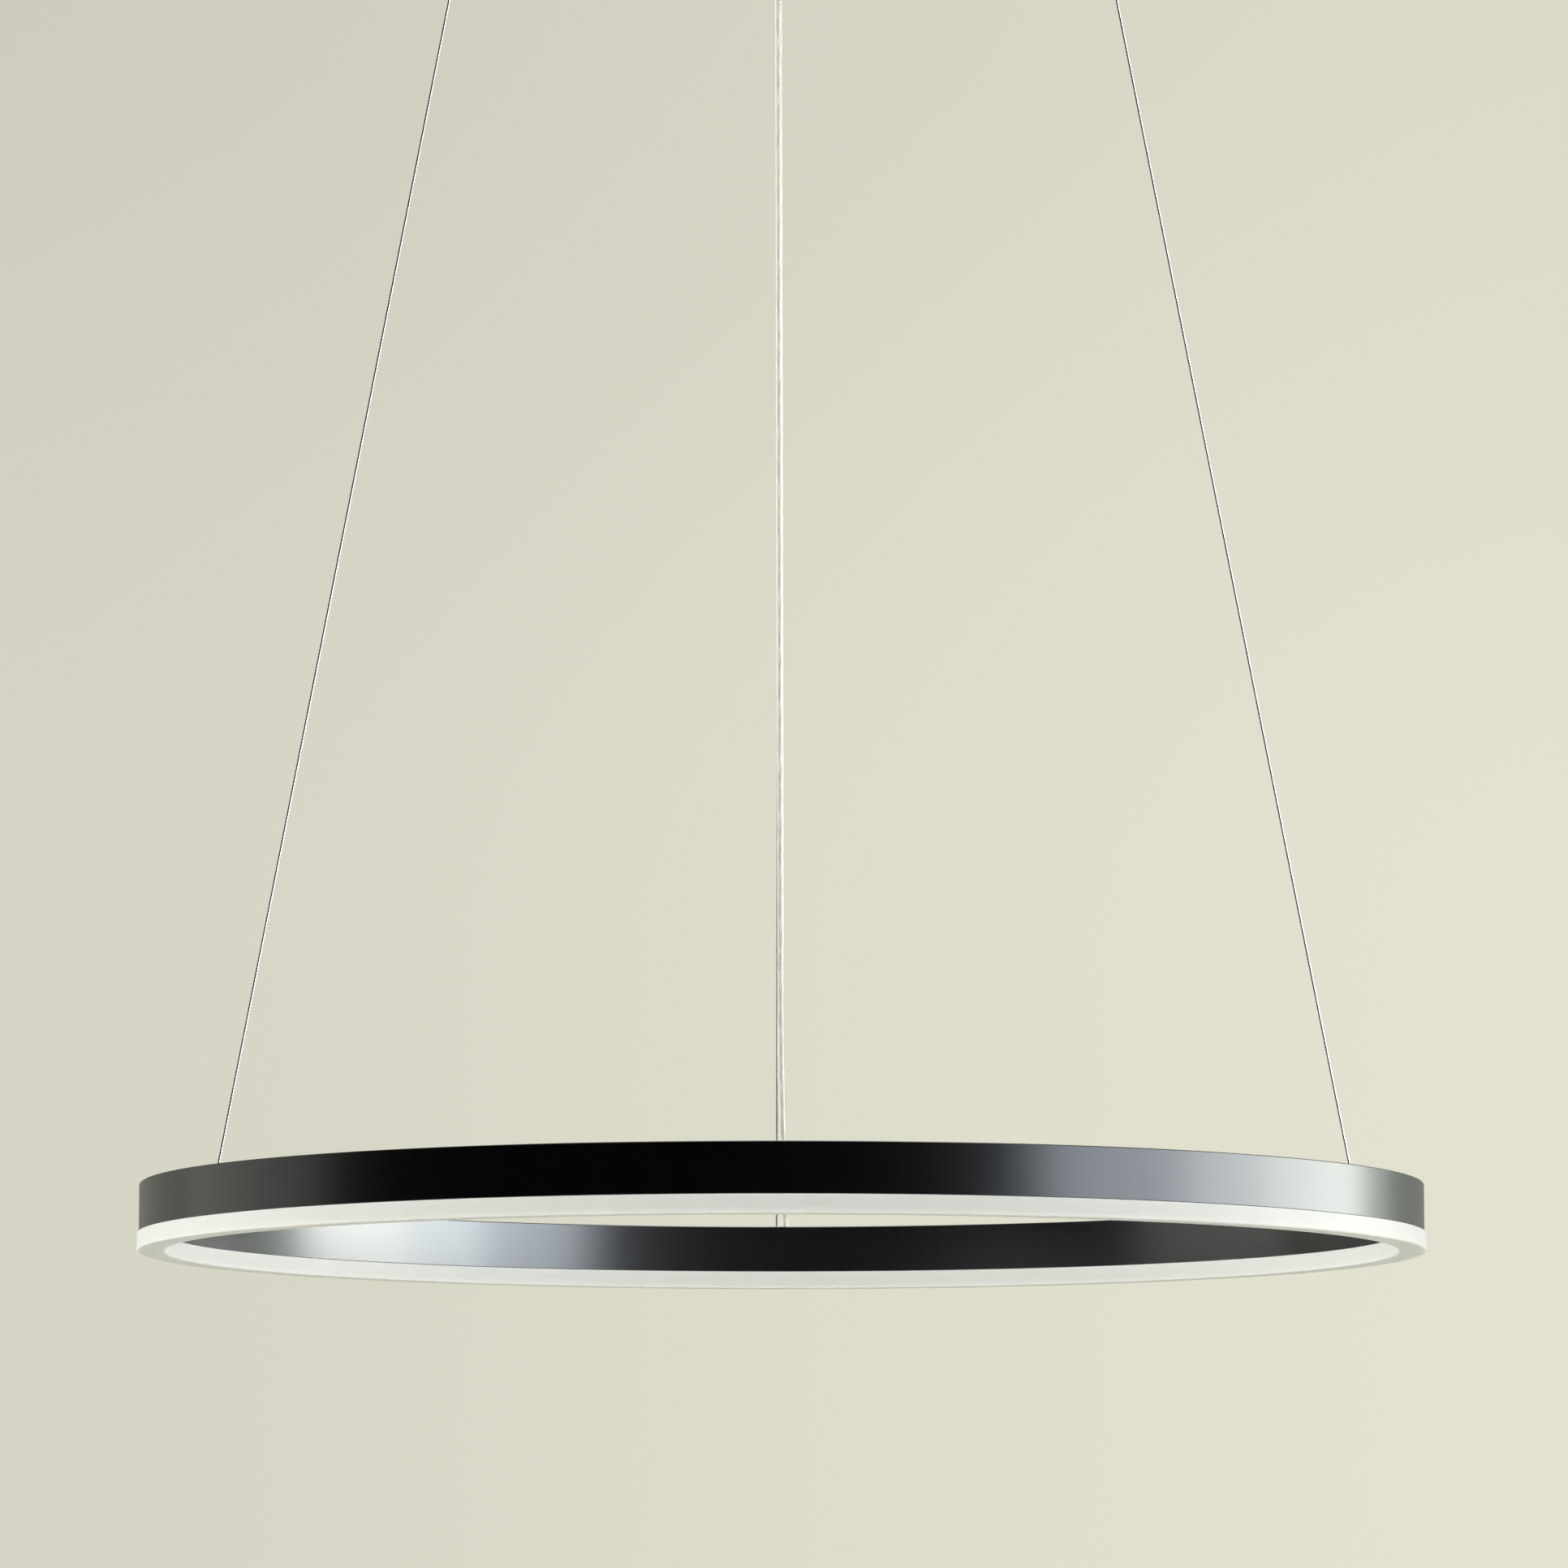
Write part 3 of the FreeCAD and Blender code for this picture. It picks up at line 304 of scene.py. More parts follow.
def along(line):
    """For each point of a line: the point, its distance from the start, and two directions across it."""
    side = (line[1] - line[0]).orthogonal().normalized()
    distance = 0.0
    for k, point in enumerate(line):
        ahead = (line[min(k + 1, len(line) - 1)] - line[max(k - 1, 0)]).normalized()
        side = (side - ahead * side.dot(ahead)).normalized()
        if k:
            distance += (point - line[k - 1]).length
        yield point, distance, side, ahead.cross(side)


def wound(line, orbit, pitch, phase):
    """A helix round a line."""
    helix = []
    for point, distance, side, across in along(line):
        turn = phase + 2 * math.pi * distance / pitch
        helix.append(point + side * (orbit * math.cos(turn)) + across * (orbit * math.sin(turn)))
    return helix


def swept(name, line, section):
    """A closed tube along a line; section gives its outline, as (across, up) pairs, at a distance."""
    shape = bmesh.new()
    rings = []
    for point, distance, side, across in along(line):
        rings.append([shape.verts.new(point + side * u + across * v) for u, v in section(distance)])
    for before, after in zip(rings, rings[1:]):
        for k in range(len(before)):
            n = (k + 1) % len(before)
            shape.faces.new((before[k], before[n], after[n], after[k]))
    shape.faces.new(list(reversed(rings[0])))
    shape.faces.new(rings[-1])
    return meshed(name, shape)


def round_section(radius, sides):
    """The outline of a round tube."""
    spots = [2 * math.pi * k / sides for k in range(sides)]
    circle = [(radius * math.cos(a), radius * math.sin(a)) for a in spots]
    return lambda distance: circle


def stranded_section(radius, strands, pitch, points_each=4):
    """The outline of a rope: one round lobe for each strand, turning with the lay."""
    strand = radius / (1 + 1 / math.sin(math.pi / strands))
    hub = radius - strand
    sides = strands * points_each

    def outline(distance):
        turn = 2 * math.pi * distance / pitch
        spots = []
        for k in range(sides):
            a = 2 * math.pi * k / sides
            off = (a * strands / (2 * math.pi) + 0.5) % 1 - 0.5
            lean = off * 2 * math.pi / strands
            reach = hub * math.cos(lean) + math.sqrt(max(strand ** 2 - (hub * math.sin(lean)) ** 2, 0.0))
            spots.append((reach * math.cos(a + turn), reach * math.sin(a + turn)))
        return spots
    return outline


def shader(name, colour, roughness, metallic=0.0, **sockets):
    """A material and its Principled shader; further sockets are set by name, with _ for a space."""
    material = bpy.data.materials.new(name)
    material.use_nodes = True
    surface = material.node_tree.nodes["Principled BSDF"]
    surface.inputs["Base Color"].default_value = (*colour, 1.0)
    surface.inputs["Roughness"].default_value = roughness
    surface.inputs["Metallic"].default_value = metallic
    for socket, value in sockets.items():
        surface.inputs[socket.replace("_", " ")].default_value = value
    return material, surface


def grain(material, scale, stretch=(1.0, 1.0, 1.0), lean=(0.0, 0.0, 0.0), detail=3.0):
    """A noise with so many features in a metre; stretch draws them out by axis, in a frame turned by
    lean."""
    tree = material.node_tree
    place = tree.nodes.new("ShaderNodeTexCoord")
    mapping = tree.nodes.new("ShaderNodeMapping")
    mapping.vector_type = "TEXTURE"
    mapping.inputs["Rotation"].default_value = lean
    mapping.inputs["Scale"].default_value = [1 / share for share in stretch]
    noise = tree.nodes.new("ShaderNodeTexNoise")
    noise.inputs["Scale"].default_value = scale
    noise.inputs["Detail"].default_value = detail
    noise.inputs["Roughness"].default_value = 0.55
    tree.links.new(place.outputs["Object"], mapping.inputs["Vector"])
    tree.links.new(mapping.outputs["Vector"], noise.inputs["Vector"])
    return noise.outputs["Fac"]


# A noise hardly leaves this range, so its values are drawn out from it.
noise_low, noise_high = 0.3, 0.7


def spread(material, factor, low, high, socket):
    """Lets a noise run a shader's value from low to high."""
    tree = material.node_tree
    ranged = tree.nodes.new("ShaderNodeMapRange")
    ranged.inputs["From Min"].default_value = noise_low
    ranged.inputs["From Max"].default_value = noise_high
    ranged.inputs["To Min"].default_value = low
    ranged.inputs["To Max"].default_value = high
    tree.links.new(factor, ranged.inputs["Value"])
    tree.links.new(ranged.outputs["Result"], socket)


def tint(material, factor, dark, light, socket):
    """Lets a noise run a shader's colour between two colours."""
    tree = material.node_tree
    ramp = tree.nodes.new("ShaderNodeValToRGB")
    ramp.color_ramp.elements[0].position = noise_low
    ramp.color_ramp.elements[0].color = (*dark, 1.0)
    ramp.color_ramp.elements[1].position = noise_high
    ramp.color_ramp.elements[1].color = (*light, 1.0)
    tree.links.new(factor, ramp.inputs["Fac"])
    tree.links.new(ramp.outputs["Color"], socket)


def relief(material, factor, depth, surface):
    """Raises the surface by a noise, depth metres at the most, on top of any relief that it has."""
    tree = material.node_tree
    bump = tree.nodes.new("ShaderNodeBump")
    for finer in surface.inputs["Normal"].links:
        tree.links.new(finer.from_socket, bump.inputs["Normal"])
    bump.inputs["Strength"].default_value = 1.0
    bump.inputs["Distance"].default_value = depth
    tree.links.new(factor, bump.inputs["Height"])
    tree.links.new(bump.outputs["Normal"], surface.inputs["Normal"])


def clear_pvc():
    """Clear, slightly milky plastic with a smooth extruded skin."""
    material, surface = shader("clear_pvc", (0.95, 0.96, 0.95), 0.12, Transmission_Weight=0.72, IOR=1.5,
                               Coat_Weight=0.6, Coat_Roughness=0.05, Coat_IOR=1.6)
    tint(material, grain(material, 240), (0.92, 0.94, 0.93), (0.97, 0.98, 0.97),
         surface.inputs["Base Color"])
    spread(material, grain(material, 900), 0.05, 0.12, surface.inputs["Roughness"])
    return material


def drawn_strands(name, dark, light):
    """Fine drawn strands, a little dull, with the colour uneven along them."""
    material, surface = shader(name, light, 0.45, 0.7)
    tint(material, grain(material, 1500), dark, light, surface.inputs["Base Color"])
    spread(material, grain(material, 2600), 0.38, 0.55, surface.inputs["Roughness"])
    return material


def wear(piece, material):
    """Puts one material on a whole piece."""
    piece.data.materials.clear()
    piece.data.materials.append(material)
    return piece


sleeve_pvc = clear_pvc()
conductor_strands = {
    "tinned": drawn_strands("tinned_strands", (0.74, 0.75, 0.76), (0.93, 0.94, 0.95)),
    "copper": drawn_strands("copper_strands", (0.80, 0.47, 0.30), (0.97, 0.68, 0.50)),
}


def flex(name, line):
    """A clear flex along a line: its sleeve, and inside it the two twisted conductors."""
    conductors = []
    for number, (kind, strands) in enumerate(conductor_strands.items()):
        core = wound(line, core_orbit, core_pitch, math.pi * number)
        conductor = swept(kind + "_conductor_" + name, core,
                          stranded_section(core_radius, strand_count, strand_pitch))
        conductors.append(wear(conductor, strands))
    sleeve = swept(name + "_sleeve", line, round_section(cord_radius, sleeve_sides))
    return wear(sleeve, sleeve_pvc), conductors


cord_line = evenly(spline_line(cord_route), cord_step)
cord_start = (-0.003, 0.059, -0.052)
cord_settled = (-0.0024, 0.09, -0.2)
power_cord, cord_cores = flex("power_cord", cord_line)
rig.replaces(power_cord, "power_cord")
for piece in (power_cord, *cord_cores):
    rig.slot(piece, "clear_cord")
    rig.blend(piece, "canopy", "wire_rear", start=cord_start, end=cord_settled)
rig.cord(power_cord, exit=cord_start, length=cord_length, diameter=2 * cord_radius, far_end="object",
        stiffness="medium", lay="taut", path=[tuple(point) for point in cord_line],
        with_pieces=cord_cores)

# The studio: a pale floor under the lamp, a pale wall behind it and a dark room behind the camera. Four
# large fills, far off, light the lamp evenly, with a softbox above. A row of softboxes on the right and
# one on the left show in its gloss alone. The wall and the room change colour between two directions.
wall_left, wall_right = (0.665, 0.658, 0.552), (0.768, 0.760, 0.630)
wall_left_end, wall_right_end = -0.12, 0.12
wall_low, wall_high = (1.0, 1.0, 1.0), (0.91, 0.91, 0.91)
wall_low_end, wall_high_end = 0.1, 0.25
room_dark, room_pale = (0.0015, 0.0015, 0.0015), (0.42, 0.415, 0.37)
room_dark_end, room_pale_end = 0.1, 0.95
fill_aside, fill_level = 6.6, 0.2
front_aside, front_out, front_level = 5.0, -5.2, 1.1
row_aside, row_level = 1.8, -1.36


def studio_world():
    """The wall, for the lens and through clear plastic, and else a room that is pale behind the lamp and
    dark in front."""
    world = bpy.data.worlds.new("studio")
    world.use_nodes = True
    bpy.context.scene.world = world
    tree = world.node_tree
    tree.nodes.clear()
    place = tree.nodes.new("ShaderNodeTexCoord")
    split = tree.nodes.new("ShaderNodeSeparateXYZ")
    tree.links.new(place.outputs["Generated"], split.inputs["Vector"])

    def gradient(axis, start, end, first, last):
        """A colour that runs from first to last, as a direction's share of an axis goes from start to
        end."""
        ranged = tree.nodes.new("ShaderNodeMapRange")
        ranged.interpolation_type = "SMOOTHSTEP"
        ranged.inputs["From Min"].default_value = start
        ranged.inputs["From Max"].default_value = end
        tree.links.new(split.outputs[axis], ranged.inputs["Value"])
        mixed = tree.nodes.new("ShaderNodeMix")
        mixed.data_type = "RGBA"
        mixed.inputs["A"].default_value = (*first, 1.0)
        mixed.inputs["B"].default_value = (*last, 1.0)
        tree.links.new(ranged.outputs["Result"], mixed.inputs["Factor"])
        return mixed.outputs["Result"]

    wall = tree.nodes.new("ShaderNodeBackground")
    tree.links.new(gradient("X", wall_left_end, wall_right_end, wall_left, wall_right),
                   wall.inputs["Color"])
    tree.links.new(gradient("Z", wall_low_end, wall_high_end, wall_low, wall_high),
                   wall.inputs["Strength"])
    room = tree.nodes.new("ShaderNodeBackground")
    tree.links.new(gradient("Y", room_dark_end, room_pale_end, room_dark, room_pale),
                   room.inputs["Color"])
    rays = tree.nodes.new("ShaderNodeLightPath")
    seen = tree.nodes.new("ShaderNodeMath")
    seen.operation = "MAXIMUM"
    tree.links.new(rays.outputs["Is Camera Ray"], seen.inputs[0])
    tree.links.new(rays.outputs["Is Transmission Ray"], seen.inputs[1])
    chosen = tree.nodes.new("ShaderNodeMixShader")
    tree.links.new(seen.outputs["Value"], chosen.inputs["Fac"])
    tree.links.new(room.outputs["Background"], chosen.inputs[1])
    tree.links.new(wall.outputs["Background"], chosen.inputs[2])
    output = tree.nodes.new("ShaderNodeOutputWorld")
    tree.links.new(chosen.outputs["Shader"], output.inputs["Surface"])


def soft_lamp(name, place, width, height, brightness, colour, mirrored=True, lights=True):
    """A soft lamp aimed at the ring's centre; brightness is that of its face, where 1 is white. One that
    isn't mirrored is kept out of gloss, and one that doesn't light is seen in gloss alone."""
    data = bpy.data.lights.new(name, "AREA")
    data.shape = "RECTANGLE"
    data.size = width
    data.size_y = height
    data.energy = brightness * math.pi * width * height
    data.color = colour
    lamp = bpy.data.objects.new(name, data)
    bpy.context.scene.collection.objects.link(lamp)
    lamp.location = place
    towards = Vector((0.0, 0.0, ring_top)) - Vector(place)
    lamp.rotation_euler = towards.to_track_quat("-Z", "Y").to_euler()
    lamp.visible_camera = False
    lamp.visible_glossy = mirrored
    lamp.visible_diffuse = lights


studio_world()
soft_lamp("front_left_fill", (-front_aside, front_out, front_level), 4.0, 4.0, 5.1, (0.96, 1.0, 0.91),
          mirrored=False)
soft_lamp("front_right_fill", (front_aside, front_out, front_level), 4.0, 4.0, 4.9, (0.955, 1.0, 0.95),
          mirrored=False)
soft_lamp("left_fill", (-fill_aside, 1.0, fill_level), 7.0, 4.0, 3.7, (1.0, 0.995, 0.97), mirrored=False)
soft_lamp("right_fill", (fill_aside, 1.0, fill_level), 7.0, 4.0, 3.2, (1.0, 0.995, 0.97), mirrored=False)
soft_lamp("overhead_softbox", (0.2, -0.4, 1.9), 2.2, 2.2, 3.0, (1.0, 0.985, 0.94))
for name, along_row, width, brightness, colour in (
        ("right_edge_softbox", -2.0, 0.5, 0.55, (0.76, 0.88, 1.0)),
        ("right_front_softbox", -1.25, 1.0, 3.45, (0.83, 0.91, 1.0)),
        ("right_softbox", -0.5, 0.5, 5.5, (0.89, 0.97, 1.0)),
        ("right_back_softbox", 0.25, 1.0, 6.7, (0.96, 1.0, 0.96)),
        ("right_far_softbox", 1.0, 0.5, 1.1, (0.8, 1.0, 0.85))):
    soft_lamp(name, (row_aside, along_row, row_level), width, 1.0, brightness, colour, lights=False)
soft_lamp("right_upper_softbox", (1.9, -0.2, -0.2), 2.4, 1.2, 4.5, (1.0, 1.0, 1.0), lights=False)
soft_lamp("left_softbox", (-2.0, 0.37, row_level), 1.5, 1.1, 0.47, (1.0, 1.0, 0.93), lights=False)

floor_level = -2.6
floor_reach = 12.0
floor_pale = (0.72, 0.71, 0.60)
floor_near, floor_far = 0.5, 4.5
floor_pale_share = 0.55
floor_dark_end = 1.2
floor_shape = bmesh.new()
bmesh.ops.create_grid(floor_shape, x_segments=8, y_segments=8, size=floor_reach)
floor = meshed("studio_floor", floor_shape)
floor.location.z = floor_level


def studio_floor_paint():
    """Pale matt paint. For the lens it runs out into the wall's colour, and in gloss its front half is
    dark, as the room is."""
    material, surface = shader("floor_paint", (0.78, 0.77, 0.70), 0.7)
    tint(material, grain(material, 1.5), (0.76, 0.75, 0.68), (0.80, 0.79, 0.72),
         surface.inputs["Base Color"])
    tree = material.node_tree
    place = tree.nodes.new("ShaderNodeTexCoord")
    split = tree.nodes.new("ShaderNodeSeparateXYZ")
    tree.links.new(place.outputs["Object"], split.inputs["Vector"])
    distance = tree.nodes.new("ShaderNodeVectorMath")
    distance.operation = "LENGTH"
    tree.links.new(place.outputs["Object"], distance.inputs[0])
    rays = tree.nodes.new("ShaderNodeLightPath")

    def share(source, start, end, first, last, ray):
        """Runs from first to last between two places on the floor, and counts for one kind of ray."""
        ranged = tree.nodes.new("ShaderNodeMapRange")
        ranged.interpolation_type = "SMOOTHSTEP"
        ranged.inputs["From Min"].default_value = start
        ranged.inputs["From Max"].default_value = end
        ranged.inputs["To Min"].default_value = first
        ranged.inputs["To Max"].default_value = last
        tree.links.new(source, ranged.inputs["Value"])
        counted = tree.nodes.new("ShaderNodeMath")
        counted.operation = "MULTIPLY"
        tree.links.new(ranged.outputs["Result"], counted.inputs[0])
        tree.links.new(rays.outputs[ray], counted.inputs[1])
        return counted.outputs["Value"]

    def covered(under, over, amount):
        """One shader laid over another, by an amount."""
        mixed = tree.nodes.new("ShaderNodeMixShader")
        tree.links.new(amount, mixed.inputs["Fac"])
        tree.links.new(under, mixed.inputs[1])
        tree.links.new(over, mixed.inputs[2])
        return mixed.outputs["Shader"]

    pale = tree.nodes.new("ShaderNodeEmission")
    pale.inputs["Color"].default_value = (*floor_pale, 1.0)
    dark = tree.nodes.new("ShaderNodeBsdfDiffuse")
    dark.inputs["Color"].default_value = (0.001, 0.001, 0.001, 1.0)
    painted = covered(surface.outputs["BSDF"], pale.outputs["Emission"],
                      share(distance.outputs["Value"], floor_near, floor_far, floor_pale_share, 1.0,
                            "Is Camera Ray"))
    painted = covered(painted, dark.outputs["BSDF"],
                      share(split.outputs["Y"], 0.0, floor_dark_end, 1.0, 0.0, "Is Glossy Ray"))
    tree.links.new(painted, tree.nodes["Material Output"].inputs["Surface"])
    return material


wear(floor, studio_floor_paint())
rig.stage(floor)


# The mounting bracket is a strip of zinc plated steel with two slots for the ceiling screws. Its ends are
# bent down and tapped for the canopy's side screws.
nodes = frame["nodes"]


def zinc_plated():
    """Zinc plate over rolled steel, whose rolling shows as streaks along X."""
    material, surface = shader("zinc_plate", (0.62, 0.62, 0.61), 0.36, 1.0)
    rolled = grain(material, 1300, (0.15, 1.0, 1.0))
    tint(material, grain(material, 420), (0.52, 0.525, 0.53), (0.67, 0.665, 0.64),
         surface.inputs["Base Color"])
    spread(material, rolled, 0.28, 0.45, surface.inputs["Roughness"])
    relief(material, rolled, 0.000006, surface)
    return material


zinc = zinc_plated()
wear(nodes["mounting_bracket"], zinc)

# The earth screw is a zinc plated M4 pan head with a cross recess, driven up into the bracket. Under its
# head it holds a punched washer with teeth round its rim.
earth_head_height = 0.0024
earth_shank_radius = 0.002
earth_thread_pitch = 0.0007
washer_teeth = 12
tooth_wave = 0.0004
tooth_twist = 0.09
washer_bore = 0.0022


def crisp(piece, angle=0.6):
    """Keeps the edges that turn by more than the angle sharp under smooth shading."""
    shape = bmesh.new()
    shape.from_mesh(piece.data)
    for edge in shape.edges:
        if len(edge.link_faces) == 2 and edge.calc_face_angle(0.0) > angle:
            edge.smooth = False
    shape.to_mesh(piece.data)
    shape.free()
    return piece


def turned(name, profile, sides, wave=None):
    """A closed solid turned about Z from (radius, height) points; wave(turn, height) adds to the
    radius."""
    shape = bmesh.new()
    rings = []
    for radius, height in profile:
        count = sides if radius else 1
        ring = []
        for k in range(count):
            turn = 2 * math.pi * k / sides
            reach = radius + (wave(turn, height) if wave and radius else 0.0)
            ring.append(shape.verts.new((reach * math.cos(turn), reach * math.sin(turn), height)))
        rings.append(ring)
    for low, high in zip(rings, rings[1:]):
        for k in range(sides):
            n = (k + 1) % sides
            corners = [low[k % len(low)], low[n % len(low)], high[n % len(high)], high[k % len(high)]]
            shape.faces.new(list(dict.fromkeys(corners)))
    bmesh.ops.recalc_face_normals(shape, faces=shape.faces)
    return crisp(meshed(name, shape))


def block(name, low, high, bevel=0.0):
    """A box between two corners, with its edges broken."""
    shape = bmesh.new()
    bmesh.ops.create_cube(shape, size=1.0)
    for vertex in shape.verts:
        vertex.co = [a + (0.5 + t) * (b - a) for a, b, t in zip(low, high, vertex.co)]
    if bevel:
        bmesh.ops.bevel(shape, geom=shape.edges, offset=bevel, segments=2, profile=0.5, affect="EDGES")
    return crisp(meshed(name, shape))


def carved(piece, cutters):
    """Cuts the cutters out of a piece and takes them away."""
    for cutter in cutters:
        change = piece.modifiers.new("cut", "BOOLEAN")
        change.object = cutter
        change.operation = "DIFFERENCE"
        change.solver = "EXACT"
    bpy.context.view_layer.update()
    evaluated = piece.evaluated_get(bpy.context.evaluated_depsgraph_get())
    mesh = bpy.data.meshes.new_from_object(evaluated)
    piece.modifiers.clear()
    piece.data = mesh
    mesh.polygons.foreach_set("use_smooth", [True] * len(mesh.polygons))
    for cutter in cutters:
        bpy.data.objects.remove(cutter)
    return crisp(piece)


def moved(piece, placement):
    """Moves a piece within its mesh, so that its own frame stays the lamp's."""
    piece.data.transform(placement)
    return piece


def joined(name, pieces):
    """One object from the meshes of several."""
    shape = bmesh.new()
    for piece in pieces:
        shape.from_mesh(piece.data)
        bpy.data.objects.remove(piece)
    return meshed(name, shape)


def threaded(name, radius, start, length, pitch, rings_each=6):
    """A screw's shank along Z, with its thread cut in."""
    steps = round(length / pitch * rings_each)
    heights = [start + length * k / steps for k in range(steps + 1)]

    def groove(turn, height):
        return -0.6 * pitch * abs(((height / pitch - turn / (2 * math.pi)) % 1) * 2 - 1)

    profile = [(0.0, start)] + [(radius, height) for height in heights] + [(0.0, heights[-1])]
    return turned(name, profile, 20, groove)


def pan_screw(name, head_radius, head_height, shank_radius, length, pitch):
    """A pan head screw with a cross recess. Its head's face is at zero height and its shank above."""
    dome = head_height * 0.45
    head = turned(name, [(0.0, 0.0), (head_radius * 0.55, dome * 0.04), (head_radius * 0.8, dome * 0.28),
                         (head_radius * 0.95, dome * 0.7), (head_radius, dome * 1.25),
                         (head_radius, head_height * 0.96), (head_radius * 0.97, head_height),
                         (0.0, head_height)], 32)
    arm, wing, deep = head_radius * 0.5, head_radius * 0.11, head_height * 0.6
    carved(head, [block("cross", (-arm, -wing, -deep), (arm, wing, deep)),
                  block("cross", (-wing, -arm, -deep), (wing, arm, deep))])
    return joined(name, [head, threaded(name, shank_radius, head_height, length, pitch)])


low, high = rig.box("ground_screw")
earth_screw = pan_screw("earth_screw", (high.x - low.x) / 2, earth_head_height, earth_shank_radius,
                        high.z - low.z - earth_head_height, earth_thread_pitch)
moved(earth_screw, Matrix.Translation(((low.x + high.x) / 2, 0.0, low.z)))
wear(earth_screw, zinc)
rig.slot(earth_screw, "zinc_steel")
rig.ride(earth_screw, "canopy")
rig.replaces(earth_screw, "ground_screw")


low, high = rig.box("ground_washer")


def tooth_edge(turn, height, lower_face=low.z):
    """The washer's rim goes in and out, a little further round on one face than on the other."""
    skew = tooth_twist if height > lower_face else 0.0
    return -tooth_wave * (0.5 + 0.5 * math.cos(washer_teeth * (turn + skew)))


washer_outer = (high.x - low.x) / 2
tooth_washer = turned("tooth_washer", [(washer_outer, low.z), (washer_outer, high.z)], 12 * washer_teeth,
                      tooth_edge)
bore = turned("washer_bore", [(washer_bore, high.z), (washer_bore, low.z)], 12 * washer_teeth)
washer_shape = bmesh.new()
for part in (tooth_washer, bore):
    washer_shape.from_mesh(part.data)
    bpy.data.objects.remove(part)
rims = [edge for edge in washer_shape.edges if edge.is_boundary]
for level in (low.z, high.z):
    flat = [edge for edge in rims if abs(edge.verts[0].co.z - level) < 1e-6]
    bmesh.ops.bridge_loops(washer_shape, edges=flat)
bmesh.ops.recalc_face_normals(washer_shape, faces=washer_shape.faces)
tooth_washer = crisp(meshed("tooth_washer", washer_shape))
moved(tooth_washer, Matrix.Translation(((low.x + high.x) / 2, 0.0, 0.0)))
wear(tooth_washer, zinc)
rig.slot(tooth_washer, "zinc_steel")
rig.ride(tooth_washer, "canopy")
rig.replaces(tooth_washer, "ground_washer")


# The LED driver is a moulded white case under the bracket, held by a screw in the tab at each end. Covers
# shield the green terminal blocks.
driver_head_radius, driver_head_height = 0.0028, 0.0018
driver_shank_radius = 0.0015
driver_thread_pitch = 0.0005


def fine_grained(name, colour, roughness, scale=900, depth=0.000012):
    """Moulded plastic with a fine spark-eroded grain."""
    material, surface = shader(name, colour, roughness)
    skin = grain(material, scale, detail=2.0)
    dark = [0.94 * value for value in colour]
    tint(material, grain(material, 55), dark, colour, surface.inputs["Base Color"])
    spread(material, skin, roughness - 0.06, roughness + 0.08, surface.inputs["Roughness"])
    relief(material, skin, depth, surface)
    return material


wear(nodes["driver_case"], fine_grained("driver_plastic", (0.80, 0.80, 0.78), 0.5))
wear(nodes["driver_end_covers"], fine_grained("driver_cover_plastic", (0.74, 0.74, 0.72), 0.46))
wear(nodes["driver_terminals"], fine_grained("terminal_green", (0.08, 0.33, 0.14), 0.42))
low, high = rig.box("driver_screws")
driver_screws = []
for side in (-1, 1):
    driver_screw = pan_screw("driver_screw", driver_head_radius, driver_head_height, driver_shank_radius,
                             high.z - low.z - driver_head_height, driver_thread_pitch)
    place = Matrix.Translation((side * (high.x - driver_head_radius), 0.0, low.z))
    driver_screws.append(moved(driver_screw, place))
driver_screws = wear(joined("driver_screw_pair", driver_screws), zinc)
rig.slot(driver_screws, "zinc_steel")
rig.ride(driver_screws, "canopy")
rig.replaces(driver_screws, "driver_screws")


# The canopy is a cup spun from steel sheet and powder coated black, with the fine pebble that such a coat
# has. It is drawn up against the ceiling, over the bracket.
def trued(material, surface):
    """Takes the facets' sideways lean out of the normals of a piece turned about the lamp's axis."""
    tree = material.node_tree
    place = tree.nodes.new("ShaderNodeTexCoord")

    def worked(operation, first, second=None):
        """One step of vector arithmetic, on a link and a link or plain numbers."""
        step = tree.nodes.new("ShaderNodeVectorMath")
        step.operation = operation
        tree.links.new(first, step.inputs[0])
        if isinstance(second, tuple):
            step.inputs[1].default_value = second
        elif second:
            tree.links.new(second, step.inputs[1])
        return step

    level = worked("MULTIPLY", place.outputs["Object"], (1.0, 1.0, 0.0)).outputs["Vector"]
    outward = worked("NORMALIZE", level).outputs["Vector"]
    facing = worked("DOT_PRODUCT", place.outputs["Normal"], outward).outputs["Value"]
    sideways = worked("SCALE", outward)
    tree.links.new(facing, sideways.inputs["Scale"])
    upright = worked("MULTIPLY", place.outputs["Normal"], (0.0, 0.0, 1.0)).outputs["Vector"]
    total = worked("ADD", sideways.outputs["Vector"], upright).outputs["Vector"]
    placed = tree.nodes.new("ShaderNodeVectorTransform")
    placed.vector_type = "NORMAL"
    placed.convert_from = "OBJECT"
    placed.convert_to = "WORLD"
    tree.links.new(total, placed.inputs["Vector"])
    tree.links.new(placed.outputs["Vector"], surface.inputs["Normal"])


def powder_coated(name, colour, turned_piece=False):
    """Black powder coat, satin, with a fine pebble."""
    material, surface = shader(name, colour, 0.44)
    if turned_piece:
        trued(material, surface)
    pebble = grain(material, 1500, detail=1.5)
    tint(material, grain(material, 70), [0.8 * value for value in colour], colour,
         surface.inputs["Base Color"])
    spread(material, pebble, 0.38, 0.52, surface.inputs["Roughness"])
    relief(material, pebble, 0.00003, surface)
    return material


wear(nodes["canopy_cup"], powder_coated("canopy_powder_coat", (0.008, 0.008, 0.0085), turned_piece=True))

